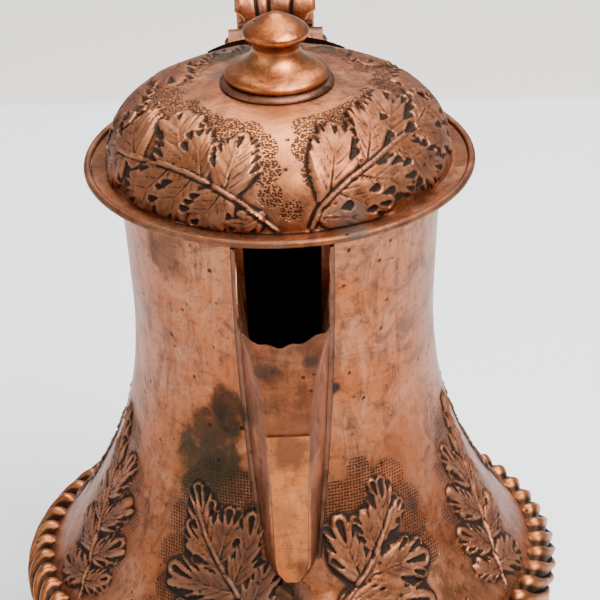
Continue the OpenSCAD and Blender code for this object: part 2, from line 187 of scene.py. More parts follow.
def spline(points: list[Place], count: int = 24) -> np.ndarray:
    """A smooth path through every point.

    Args:
        points: the places, in millimetres.
        count: number of points on the path.

    Returns:
        The path's points.
    """
    p = np.asarray(points, float)
    ext = np.vstack([2 * p[0] - p[1], p, 2 * p[-1] - p[-2]])
    u = np.linspace(0, len(p) - 1 - 1e-9, count)
    k = u.astype(int)
    t = (u - k)[:, None]
    a, b, c, d = ext[k], ext[k + 1], ext[k + 2], ext[k + 3]
    return 0.5 * (2 * b + (c - a) * t + (2 * a - 5 * b + 4 * c - d) * t**2 + (3 * b - a - 3 * c + d) * t**3)


class Relief:
    """Height and masks over the points of a sheet, built up by a chaser's strokes.

    Places are millimetres on the sheet laid flat: x to the right and y up.
    """

    def __init__(self, x: np.ndarray, y: np.ndarray) -> None:
        """Starts with a plain sheet.

        Args:
            x: place of each point across.
            y: place of each point up the sheet.
        """
        self.x, self.y = x, y
        self.height = np.zeros_like(x)
        # hollow marks painted shade and grime in creases, grooves and scoops.
        self.hollow = np.zeros_like(x)
        self.matting = np.zeros_like(x)
        self.cover = np.zeros_like(x)

    def _near(self, path: np.ndarray, reach: float) -> np.ndarray:
        """Finds the points close to a path.

        Args:
            path: the path.
            reach: how far from the path's box to look.

        Returns:
            The points' numbers.
        """
        lo, hi = path.min(0) - reach, path.max(0) + reach
        return np.nonzero((self.x > lo[0]) & (self.x < hi[0]) & (self.y > lo[1]) & (self.y < hi[1]))[0]

    def _measure(self, path: np.ndarray, near: np.ndarray) -> tuple[np.ndarray, np.ndarray]:
        """Measures where each near point lies beside a path.

        Args:
            path: the path.
            near: numbers of the points.

        Returns:
            How far along the path, 0 to 1, and how far from it each point is.
        """
        points = np.stack([self.x[near], self.y[near]], axis=1)
        away = np.full(len(near), 1e9)
        along = np.zeros(len(near))
        steps = np.hypot(*(path[1:] - path[:-1]).T)
        total, gone = steps.sum(), 0.0
        for a, b, length in zip(path[:-1], path[1:], steps):
            side = b - a
            u = np.clip((points - a) @ side / max(length**2, 1e-9), 0, 1)
            distance = np.hypot(*(points - a - u[:, None] * side).T)
            closer = distance < away
            away[closer] = distance[closer]
            along[closer] = (gone + u[closer] * length) / total
            gone += length
        return along, away

    def blade(self, path: np.ndarray, width: float, height: float) -> None:
        """Raises a leaf's finger: narrow at its root, round at its tip, creased against its neighbours.

        Args:
            path: from root to tip.
            width: half its greatest width.
            height: how far it stands up.
        """
        near = self._near(path, width + 1.5)
        if not len(near):
            return
        t, away = self._measure(path, near)
        half = width * (0.44 + 0.56 * np.sin(math.pi * np.clip(t, 0, 1) ** 0.8 * 0.84))
        body = np.clip(1 - (away / half) ** 2, 0, 1)
        rim = np.clip((half - away) / 0.5, 0, 1)
        rise = height * rim * (0.78 + 0.14 * body) * (0.80 + 0.20 * t)
        self.height[near] = np.maximum(self.height[near], rise)
        crease = np.exp(-(((away - half) / 0.35) ** 2)) * (0.65 - 0.45 * self.cover[near])
        darker = np.maximum(self.hollow[near], crease)
        self.hollow[near] = np.where(body > 0.3, self.hollow[near] * (1 - body), darker)
        self.cover[near] = np.maximum(self.cover[near], np.clip((half + 0.5 - away) / 0.6, 0, 1))

    def pad(self, path: np.ndarray, width: float, height: float) -> None:
        """Raises the soft cushion a lobe's fingers lie on.

        Args:
            path: from root to tip.
            width: half its greatest width.
            height: how far it stands up.
        """
        near = self._near(path, width + 1.0)
        if len(near):
            t, away = self._measure(path, near)
            half = width * np.sin(math.pi * (0.14 + 0.72 * t))
            body = np.clip(1 - (away / half) ** 2, 0, 1)
            way = (path[-1] - path[0]) / max(np.hypot(*(path[-1] - path[0])), 1e-6)
            side = ((self.y[near] - path[0, 1]) * way[0] - (self.x[near] - path[0, 0]) * way[1]) / half
            side = np.clip(side, -1, 1)
            dish = 0.80 + 0.32 * np.abs(side) + 0.22 * side
            self.height[near] = np.maximum(self.height[near], height * body**0.5 * dish)
            self.cover[near] = np.maximum(self.cover[near], np.clip(body * 4, 0, 1))

    def rib(self, path: np.ndarray, width: float, height: float) -> None:
        """Raises a thin rib, lowest at its end.

        Args:
            path: from its start to its end.
            width: half its width.
            height: how far it stands up.
        """
        near = self._near(path, 3 * width)
        if len(near):
            t, away = self._measure(path, near)
            swell = np.exp(-((away / width) ** 2)) * (1 - 0.6 * t)
            self.height[near] += height * swell
            self.hollow[near] *= 1 - 0.8 * np.clip(swell, 0, 1)
            self.cover[near] = np.maximum(self.cover[near], np.clip(1.6 * swell, 0, 1))

    def groove(self, path: np.ndarray, width: float, depth: float) -> None:
        """Sinks a line, deepest at its start.

        Args:
            path: from its start to its end.
            width: half its width at the start.
            depth: how deep it is at the start.
        """
        near = self._near(path, 3 * width)
        if len(near):
            t, away = self._measure(path, near)
            cut = np.exp(-((away / (width * (1 - 0.5 * t))) ** 2))
            self.height[near] -= depth * cut * (1 - 0.5 * t)
            self.hollow[near] = np.maximum(self.hollow[near], cut * (1 - 0.35 * t))

    def scoop(self, path: np.ndarray, width: float, depth: float = 0.9) -> None:
        """Hollows a teardrop with a thin raised rim.

        Args:
            path: from its round head to its tail.
            width: half its width at the head.
            depth: how deep its head is.
        """
        near = self._near(path, 3 * width + 1.2)
        if len(near):
            t, away = self._measure(path, near)
            half = np.maximum(width * (1 - t) ** 0.6, 0.05)
            cup = 1 / (1 + (away / half) ** 6)
            rim = np.exp(-(((away - half - 0.45) / 0.32) ** 2)) * (1 - 0.9 * t)
            self.height[near] += 0.30 * rim - depth * cup * (1 - 0.45 * t)
            self.hollow[near] = np.maximum(self.hollow[near] * (1 - rim), cup * (1 - 0.35 * t))
            self.cover[near] = np.maximum(self.cover[near], np.clip(rim + cup, 0, 1))

    def punched(self, spots: tuple[Spot, ...]) -> None:
        """Marks where the ground is punched all over.

        Args:
            spots: (x, y, radius) of round patches that run together.
        """
        for x, y, radius in spots:
            away = np.hypot(self.x - x, self.y - y)
            self.matting = np.maximum(self.matting, np.clip((radius - away) / 2.2, 0, 1))


@dataclass(frozen=True)
class Lobe:
    """One lobe of an acanthus leaf, in millimetres on the flat sheet.

    Its smooth face ends in short fingers along both edges, and each finger is scooped out like a spoon.
    """

    STEPS: ClassVar[int] = 20

    root: Place
    tip: Place
    half_w: float = 6.0
    teeth: int = 3
    height: float = 1.5
    bend: float = 0.06
    scooped: float = 0.45

    def chase(self, relief: Relief, seed: int) -> None:
        """Raises the lobe's face and fingers, then draws its veins and scoops the fingers.

        Args:
            relief: the sheet.
            seed: varies one lobe from the next.
        """
        rng = np.random.default_rng(seed)
        root, tip = np.array(self.root), np.array(self.tip)
        main = tip - root
        length = float(np.hypot(*main))
        across = np.array([-main[1], main[0]]) / length
        spine = bezier([root, root + 0.5 * main + across * self.bend * length, tip], self.STEPS + 1)
        ahead = np.gradient(spine, axis=0)
        ahead /= np.linalg.norm(ahead, axis=1, keepdims=True)
        aside = np.stack([-ahead[:, 1], ahead[:, 0]], axis=1)
        relief.pad(spine, self.half_w * 1.12, self.height * 0.82)
        width = 0.25 * length / self.teeth + 0.70
        fingers = [spine[6:]]
        for side in (-1, 1):
            for k in range(self.teeth):
                t = 0.30 + 0.52 * k / max(self.teeth - 1, 1)
                low, high = max(int((t - 0.28) * self.STEPS), 0), int(t * self.STEPS)
                reach = self.half_w * math.sin(math.pi * (0.24 + 0.60 * t)) * rng.uniform(0.88, 1.08)
                out = side * aside[high] * reach
                end = spine[high] + out + ahead[high] * length * rng.uniform(0.12, 0.22)
                knee = spine[max(high - 1, 0)] + out * 0.62
                fingers.append(bezier([spine[low], knee, end]))
        for path in fingers[::-1]:
            relief.blade(path, width * rng.uniform(0.85, 1.05), self.height * rng.uniform(0.90, 1.08))
        for path in fingers[1:]:
            relief.groove(path[1:7], 0.30, 0.22)
        relief.groove(spine[1:15], 0.32, 0.35)
        relief.rib(spine[1:13] + aside[1:13] * 0.55, 0.30, 0.28)
        for path in fingers:
            back = path[::-1]
            tail = max(3, int(len(back) * self.scooped * rng.uniform(0.75, 1.25)))
            if rng.random() < 0.88:
                relief.scoop(back[: tail + 1], width * rng.uniform(0.42, 0.62), self.height * 0.75)


@dataclass(frozen=True)
class Leaf:
    """An acanthus leaf: a midrib with lobes on both sides."""

    midrib: tuple[Place, ...]
    lobes: tuple[Lobe, ...]
    ground: tuple[Spot, ...] = ()
    rib_width: float = 0.6
    rib_height: float = 0.8

    def chase(self, relief: Relief, seed: int) -> None:
        """Works the whole leaf into the sheet.

        Args:
            relief: the sheet.
            seed: varies one leaf from the next.
        """
        for k, lobe in enumerate(self.lobes):
            lobe.chase(relief, seed + k)
        stem = spline(list(self.midrib))
        across = np.gradient(stem, axis=0)
        across = np.stack([-across[:, 1], across[:, 0]], axis=1) / np.hypot(*across.T)[:, None]
        relief.groove(stem + across * self.rib_width * 1.8, self.rib_width * 0.9, 0.6)
        relief.groove(stem - across * self.rib_width * 1.5, self.rib_width * 0.6, 0.35)
        relief.rib(stem, self.rib_width, self.rib_height)
        relief.punched(self.ground)


LID_LEFT = Leaf(
    midrib=((-1, 2.5), (-10, 10.5), (-21, 16), (-35, 18.5), (-48, 17), (-62, 14.5)),
    lobes=(
        Lobe((-58, 15), (-67, 3), 6, 3, 1.3, 0.06, 0.28),
        Lobe((-36, 18), (-49, 2.5), 7.5, 3, 1.5, 0.1, 0.28),
        Lobe((-27, 17), (-37, 4), 6, 3, 1.4, 0.1, 0.28),
        Lobe((-17, 14.5), (-25, 3), 7, 3, 1.5, 0.1, 0.28),
        Lobe((-6, 7.5), (-14, 2.5), 3.5, 2, 1.2, 0.06, 0.28),
        Lobe((-58, 15), (-80, 17), 6, 3, 1.3, 0.06, 0.28),
        Lobe((-52, 16), (-74, 28), 8, 4, 1.5, -0.1, 0.28),
        Lobe((-29, 18), (-51, 36), 9, 4, 1.6, -0.1, 0.28),
        Lobe((-24, 17), (-34, 33), 5.5, 3, 1.5, -0.08, 0.28),
        Lobe((-16, 14.5), (-15.5, 34), 8, 4, 1.6, -0.05, 0.28),
    ),
    ground=((-70, 33, 9), (-58, 38, 8), (-46, 38, 8), (-36, 37, 8), (-26, 36, 9), (-15, 36, 9), (-8, 31, 8),
            (-5, 22, 6), (-3, 14, 4.5), (3, 9, 4)),
)

LID_RIGHT = Leaf(
    midrib=((8.5, 2.5), (11, 8.6), (17, 14), (27, 18.6), (42, 22.5), (58, 23)),
    lobes=(
        Lobe((54, 23), (73, 11), 6, 3, 1.4, -0.1, 0.28),
        Lobe((40, 22), (57, 7), 7, 4, 1.5, -0.1, 0.28),
        Lobe((24, 17), (43, 11), 6, 3, 1.5, -0.1, 0.28),
        Lobe((16, 13.5), (32, 5.5), 5.5, 3, 1.4, -0.1, 0.28),
        Lobe((11, 6), (27, 2.5), 3.5, 2, 1.2, 0.06, 0.28),
        Lobe((55, 23), (86, 22), 7, 4, 1.4, 0.06, 0.28),
        Lobe((34, 21.5), (68, 37), 9, 5, 1.6, 0.12, 0.28),
        Lobe((28, 19.5), (47, 37), 7.5, 4, 1.6, 0.1, 0.28),
        Lobe((14, 12.5), (25, 36), 8, 4, 1.6, 0.08, 0.28),
    ),
    ground=((12, 20, 6), (11, 30, 7), (14, 40, 8), (26, 43, 10), (40, 43, 10), (54, 42, 9), (66, 40, 8),
            (80, 36, 8), (92, 30, 7)),
)

SHOULDER_LEFT = Leaf(
    midrib=((30, 0), (19, 14), (10.7, 24.6), (2.3, 34.6), (-4.5, 46), (-7, 54)),
    lobes=(
        Lobe((25, 7), (7, -2), 6, 3, 1.5),
        Lobe((19, 14), (-9, 11), 7.5, 4, 1.8, 0.08),
        Lobe((11, 24), (-12, 27), 6.5, 4, 1.8, 0.08),
        Lobe((5, 31), (-8, 43), 5, 3, 1.6, 0.08),
        Lobe((17, 17), (20, 38), 5.5, 3, 1.6, -0.06),
        Lobe((10, 26), (13, 49), 5.5, 4, 1.8, -0.08),
        Lobe((4, 33), (5, 50), 4.5, 3, 1.7, -0.06),
        Lobe((0, 38), (-7, 56), 4.5, 3, 1.7, 0.03),
    ),
    ground=((-6, 55, 9), (6, 56, 10), (15, 50, 9), (-10, 44, 8), (-14, 32, 6.5), (-14, 20, 6), (-19, 9, 6),
            (4, 46, 10), (-4, 62, 6)),
)

SHOULDER_RIGHT = Leaf(
    midrib=((-28, 6), (-18, 19), (-7, 29), (1, 38.5), (5.5, 46), (7, 52)),
    lobes=(
        Lobe((-22, 12), (0, 1), 6, 3, 1.6),
        Lobe((-16, 19), (11, 12), 7.5, 4, 2.1, 0.08),
        Lobe((-8, 26), (14, 26), 7, 3, 2.4, 0.1),
        Lobe((3, 40), (10, 47), 3.5, 2, 1.4),
        Lobe((-10, 26), (-13, 46), 6.5, 3, 2.1, 0.04),
        Lobe((-2, 34), (-4, 47), 4.5, 3, 1.6, 0.04),
        Lobe((1, 38), (4, 56), 4.5, 3, 1.7, -0.03),
    ),
    ground=((-12, 52, 9), (-2, 55, 9), (7, 56, 8), (13, 46, 7), (15, 37, 6), (18, 27, 5.5), (-5, 46, 9),
            (-3, 63, 5)),
)

SIDE_LEAF = Leaf(
    midrib=((13, 0), (8.5, 11), (3, 21), (-4, 41), (-8, 64)),
    lobes=(
        Lobe((10, 8), (-7, 5), 5.5, 3, 1.4, 0.08),
        Lobe((5, 17), (-13, 22), 5, 4, 1.5, 0.08),
        Lobe((1, 26), (-12, 37), 4.5, 3, 1.4, 0.06),
        Lobe((-3, 36), (-11, 52), 3.8, 3, 1.3, 0.04),
        Lobe((11, 6), (20, 12), 4, 3, 1.3, -0.06),
        Lobe((7, 14), (17, 25), 5, 3, 1.5, -0.08),
        Lobe((2, 24), (12, 39), 4.5, 4, 1.5, -0.08),
        Lobe((-2, 34), (6, 53), 3.8, 4, 1.4, -0.06),
        Lobe((-5, 44), (-9, 66), 3.2, 4, 1.3, 0.02),
    ),
    ground=((10, 48, 6), (16, 34, 6), (19, 20, 5), (1, 60, 7), (-13, 44, 6), (-15, 30, 5)),
)


@dataclass(frozen=True)
class Placed:
    """A leaf at an angle round the vessel, counted from the spout towards +X."""

    leaf: Leaf
    angle: float
    mirrored: bool = False
    depth: float = 1.0


SHOULDER_LEAVES = (
    Placed(SHOULDER_LEFT, -25), Placed(SHOULDER_RIGHT, 28),
    Placed(SIDE_LEAF, -72), Placed(SIDE_LEAF, 72, True),
    Placed(SIDE_LEAF, 114), Placed(SIDE_LEAF, -114, True),
    Placed(SHOULDER_LEFT, 152), Placed(SHOULDER_LEFT, -152, True),
)


# ---------------------------------------------------------------- meshes


def deselect() -> None:
    """Leaves edit mode and selects nothing."""
    if bpy.context.object and bpy.context.object.mode != "OBJECT":
        bpy.ops.object.mode_set(mode="OBJECT")
    bpy.ops.object.select_all(action="DESELECT")


def take(obj: bpy.types.Object) -> None:
    """Makes one object the only selected and active one.

    Args:
        obj: the object.
    """
    deselect()
    obj.select_set(True)
    bpy.context.view_layer.objects.active = obj


def smooth(obj: bpy.types.Object, angle: float = 50.0) -> None:
    """Shades an object smooth and keeps its sharp edges crisp.

    Args:
        obj: the object.
        angle: degrees from which an edge counts as sharp.
    """
    take(obj)
    bpy.ops.object.shade_smooth_by_angle(angle=math.radians(angle))
    deselect()


def apply_all(obj: bpy.types.Object) -> None:
    """Applies an object's modifiers in order.

    Args:
        obj: the object.
    """
    take(obj)
    for modifier in list(obj.modifiers):
        bpy.ops.object.modifier_apply(modifier=modifier.name)
    deselect()


def outward(obj: bpy.types.Object) -> None:
    """Merges doubles and turns every face outwards.

    Args:
        obj: the object.
    """
    take(obj)
    bpy.ops.object.mode_set(mode="EDIT")
    bpy.ops.mesh.select_all(action="SELECT")
    bpy.ops.mesh.remove_doubles(threshold=1e-6)
    bpy.ops.mesh.normals_make_consistent(inside=False)
    bpy.ops.object.mode_set(mode="OBJECT")
    deselect()


def new_object(name: str, points: np.ndarray, faces: list) -> bpy.types.Object:
    """A mesh object from points in millimetres.

    Args:
        name: the piece's name.
        points: its points.
        faces: tuples of point numbers.

    Returns:
        The new object.
    """
    mesh = bpy.data.meshes.new(name)
    mesh.from_pydata((np.asarray(points) * MM).tolist(), [], faces)
    obj = bpy.data.objects.new(name, mesh)
    bpy.context.collection.objects.link(obj)
    return obj


def grid_faces(rows: int, columns: int, wrap: bool, first: int = 0, flip: bool = False) -> list:
    """Quads over a grid of points.

    Args:
        rows: rows of points.
        columns: points in a row.
        wrap: whether a row closes on itself.
        first: number of the grid's first point.
        flip: turns the faces over.

    Returns:
        The quads.
    """
    i, j = np.meshgrid(np.arange(rows - 1), np.arange(columns if wrap else columns - 1), indexing="ij")
    a = first + i * columns + j
    b = first + i * columns + (j + 1) % columns
    c = b + columns
    d = a + columns
    quads = np.stack([a, d, c, b] if flip else [a, b, c, d], axis=-1).reshape(-1, 4)
    return quads.tolist()


def sheet(name: str, outer: np.ndarray, inner: np.ndarray, wrap: bool = True) -> bpy.types.Object:
    """A closed sheet of metal between an outer and an inner grid with the same number of columns.

    Args:
        name: the piece's name.
        outer: (rows, columns, 3) points of the outside.
        inner: the same for the inside, with any number of rows.
        wrap: whether the rows close on themselves.

    Returns:
        The new object.
    """
    ro, columns = outer.shape[:2]
    ri = inner.shape[0]
    start = ro * columns
    faces = grid_faces(ro, columns, wrap) + grid_faces(ri, columns, wrap, start, flip=True)
    low_in, top_in, top_out = start, start + (ri - 1) * columns, (ro - 1) * columns
    for j in range(columns if wrap else columns - 1):
        k = (j + 1) % columns
        faces.append((j, low_in + j, low_in + k, k))
        faces.append((top_out + j, top_out + k, top_in + k, top_in + j))
    if not wrap:
        left_o, left_i = [i * columns for i in range(ro)], [start + i * columns for i in range(ri)]
        last = columns - 1
        faces.extend(zip(left_o[:-1], left_o[1:], left_i[1:], left_i[:-1]))
        faces.extend((a + last, b + last, c + last, d + last)
                     for a, b, c, d in zip(left_o[:-1], left_i[:-1], left_i[1:], left_o[1:]))
    points = np.concatenate([outer.reshape(-1, 3), inner.reshape(-1, 3)])
    return new_object(name, points, faces)


def paint(obj: bpy.types.Object, masks: dict[Mask, np.ndarray]) -> None:
    """Stores masks on the first points of a mesh and 0 on the rest.

    Args:
        obj: the piece.
        masks: values for each mask.
    """
    for mask, values in masks.items():
        whole = np.zeros(len(obj.data.vertices), np.float32)
        whole[: values.size] = np.clip(values.ravel(), 0, 1)
        layer = obj.data.attributes.new(mask.value, "FLOAT", "POINT")
        layer.data.foreach_set("value", whole)


def lay_out(obj: bpy.types.Object, flat: np.ndarray) -> None:
    """Gives a mesh a UV map that lays its sheet flat, a unit to a millimetre.

    Args:
        obj: the piece.
        flat: (points, 2) places; the points after the last keep (0, 0).
    """
    whole = np.zeros((len(obj.data.vertices), 2), np.float32)
    whole[: len(flat)] = flat
    corner = np.empty(len(obj.data.loops), np.int32)
    obj.data.loops.foreach_get("vertex_index", corner)
    layer = obj.data.uv_layers.new(name=LAID_FLAT)
    layer.data.foreach_set("uv", whole[corner].ravel())


def round_axis(angle: np.ndarray, r: np.ndarray, z: np.ndarray) -> np.ndarray:
    """Points round the vessel's axis, at an angle counted from the spout towards +X."""
    return np.stack([r * np.sin(angle), -r * np.cos(angle), z + 0 * angle], axis=-1)


def spun(name: str, profile: list[Place], steps: int = 128) -> bpy.types.Object:
    """A turned piece: its section is spun about the vessel's axis.

    Args:
        name: the piece's name.
        profile: (radius, height) of the section, in millimetres.
        steps: steps round the axis.

    Returns:
        The new object.
    """
    mesh = bpy.data.meshes.new(name)
    points = [(r * MM, 0.0, z * MM) for r, z in profile]
    mesh.from_pydata(points, [(k, k + 1) for k in range(len(points) - 1)], [])
    obj = bpy.data.objects.new(name, mesh)
    bpy.context.collection.objects.link(obj)
    take(obj)
    bpy.ops.object.mode_set(mode="EDIT")
    bpy.ops.mesh.select_all(action="SELECT")
    bpy.ops.mesh.spin(steps=steps, angle=2 * math.pi, center=(0, 0, 0), axis=(0, 0, 1))
    bpy.ops.object.mode_set(mode="OBJECT")
    outward(obj)
    return obj


def reshape(obj: bpy.types.Object, move: Callable[[np.ndarray], np.ndarray]) -> None:
    """Moves every point of a mesh by a rule in millimetres.

    Args:
        obj: the piece.
        move: takes and returns an array of points.
    """
    count = len(obj.data.vertices)
    points = np.empty(count * 3, np.float32)
    obj.data.vertices.foreach_get("co", points)
    moved = move(points.reshape(-1, 3).astype(float) / MM) * MM
    obj.data.vertices.foreach_set("co", moved.astype(np.float32).ravel())
    obj.data.update()


def uneven_angles(front: float, dense: int, sparse: int) -> np.ndarray:
    """Angles round the vessel, closer together over the front.

    Args:
        front: half the angle of the close part, in degrees.
        dense: steps over the close part.
        sparse: steps over the rest.

    Returns:
        The angles in radians, without the last, which is the first again.
    """
    close = np.linspace(-front, front, dense, endpoint=False)
    wide = np.linspace(front, 360 - front, sparse, endpoint=False)
    return np.radians(np.concatenate([close, wide]))


def turn_apart(angle: np.ndarray, centre: float) -> np.ndarray:
    """Difference of angles from a centre, from -pi to pi."""
    return (angle - math.radians(centre) + math.pi) % (2 * math.pi) - math.pi


def blurred(grid: np.ndarray, reach: float) -> np.ndarray:
    """Smooths a grid.

    Args:
        grid: the values.
        reach: how far to smooth, in steps of the grid.

    Returns:
        The smoothed grid.
    """
    high = np.fft.fftfreq(grid.shape[0])[:, None]
    wide = np.fft.fftfreq(grid.shape[1])[None, :]
    keep = np.exp(-2 * (math.pi * reach) ** 2 * (high**2 + wide**2))
    return np.real(np.fft.ifft2(np.fft.fft2(grid) * keep))


def chase_round(relief_shape: tuple[int, int], angle: np.ndarray, r: np.ndarray, up: np.ndarray,
                leaves: tuple[Placed, ...], fixed_r: float | None = None) -> dict[str, np.ndarray]:
    """Works leaves into a sheet that runs round the axis.

    Args:
        relief_shape: (rows, columns) of the sheet.
        angle: angle of each column.
        r: radius of each row.
        up: distance up the sheet of each row.
        leaves: the leaves and their places.
        fixed_r: radius that turns angles into millimetres, or None for each row's own.

    Returns:
        Grids named height, hollow, matting, cover, patina and crest.
    """
    rows, columns = relief_shape
    total = {k: np.zeros(rows * columns) for k in ("height", "hollow", "matting", "cover")}
    scale = np.full(rows, fixed_r) if fixed_r else r
    for k, placed in enumerate(leaves):
        apart = turn_apart(angle, placed.angle)
        x = (scale[:, None] * apart[None, :]).ravel()
        y = np.repeat(up, columns)
        near = np.nonzero(np.abs(np.tile(apart, rows)) < REACH_ROUND)[0]
        relief = Relief((-x if placed.mirrored else x)[near], y[near])
        placed.leaf.chase(relief, 17 * k + 5)
        higher = relief.height > total["height"][near]
        lower = relief.height < 0
        change = near[higher | lower]
        total["height"][change] = relief.height[higher | lower] * placed.depth
        total["hollow"][near] = np.maximum(total["hollow"][near] * (1 - relief.cover), relief.hollow)
        for key, layer in (("matting", relief.matting), ("cover", relief.cover)):
            total[key][near] = np.maximum(total[key][near], layer)
    total["matting"] *= 1 - np.clip(total["cover"] * 1.3, 0, 1)
    grids = {k: v.reshape(rows, columns) for k, v in total.items()}
    lift = grids["height"]
    # Cavity: painted shade, with grime, in the low places round the raised relief.
    near_rim, wide_rim = blurred(lift, 1.8) - lift, blurred(lift, 5.0) - lift
    cavity = np.clip(near_rim / 0.42, 0, 1) + 0.75 * np.clip(wide_rim / 0.75, 0, 1)
    grids["hollow"] = np.clip(np.maximum(0.8 * grids["hollow"], cavity), 0, 1)
    grids["patina"] = np.clip(1.5 * blurred(np.maximum(grids["cover"], grids["matting"]), 7.0), 0, 1)
    # Painted highlight, with some rubbed wear, where the relief stands above its surroundings.
    grids["highlight_and_wear"] = np.clip(-near_rim / 0.35, 0, 1) * 0.6 + np.clip(-wide_rim / 0.8, 0, 1) * 0.5
    return grids


def displaced(points: np.ndarray, height: np.ndarray, wrap: bool = True) -> np.ndarray:
    """Moves a grid of points along its own normals.

    Args:
        points: (rows, columns, 3) of the sheet.
        height: how far each point moves out.
        wrap: whether the rows close on themselves.

    Returns:
        The moved points.
    """
    if wrap:
        across = np.roll(points, -1, axis=1) - np.roll(points, 1, axis=1)
    else:
        across = np.gradient(points, axis=1)
    normal = np.cross(across, np.gradient(points, axis=0))
    normal /= np.maximum(np.linalg.norm(normal, axis=-1, keepdims=True), 1e-9)
    return points + normal * height[..., None]


def unevenness(points: np.ndarray, seed: int, longest: float, amount: float) -> np.ndarray:
    """Smooth uneven heights, as left by hand raising.

    Args:
        points: places in millimetres.
        seed: which pattern.
        longest: the longest wave.
        amount: greatest height of a wave.

    Returns:
        A height for each point.
    """
    rng = np.random.default_rng(seed)
    total = np.zeros(points.shape[:-1])
    for _ in range(10):
        way = rng.normal(size=3)
        way *= 2 * math.pi / (longest * rng.uniform(0.35, 1.0) * np.linalg.norm(way))
        total += np.sin(points @ way + rng.uniform(0, 6.3))
    return amount * total / 4.5


# ---------------------------------------------------------------- pieces of the vessel


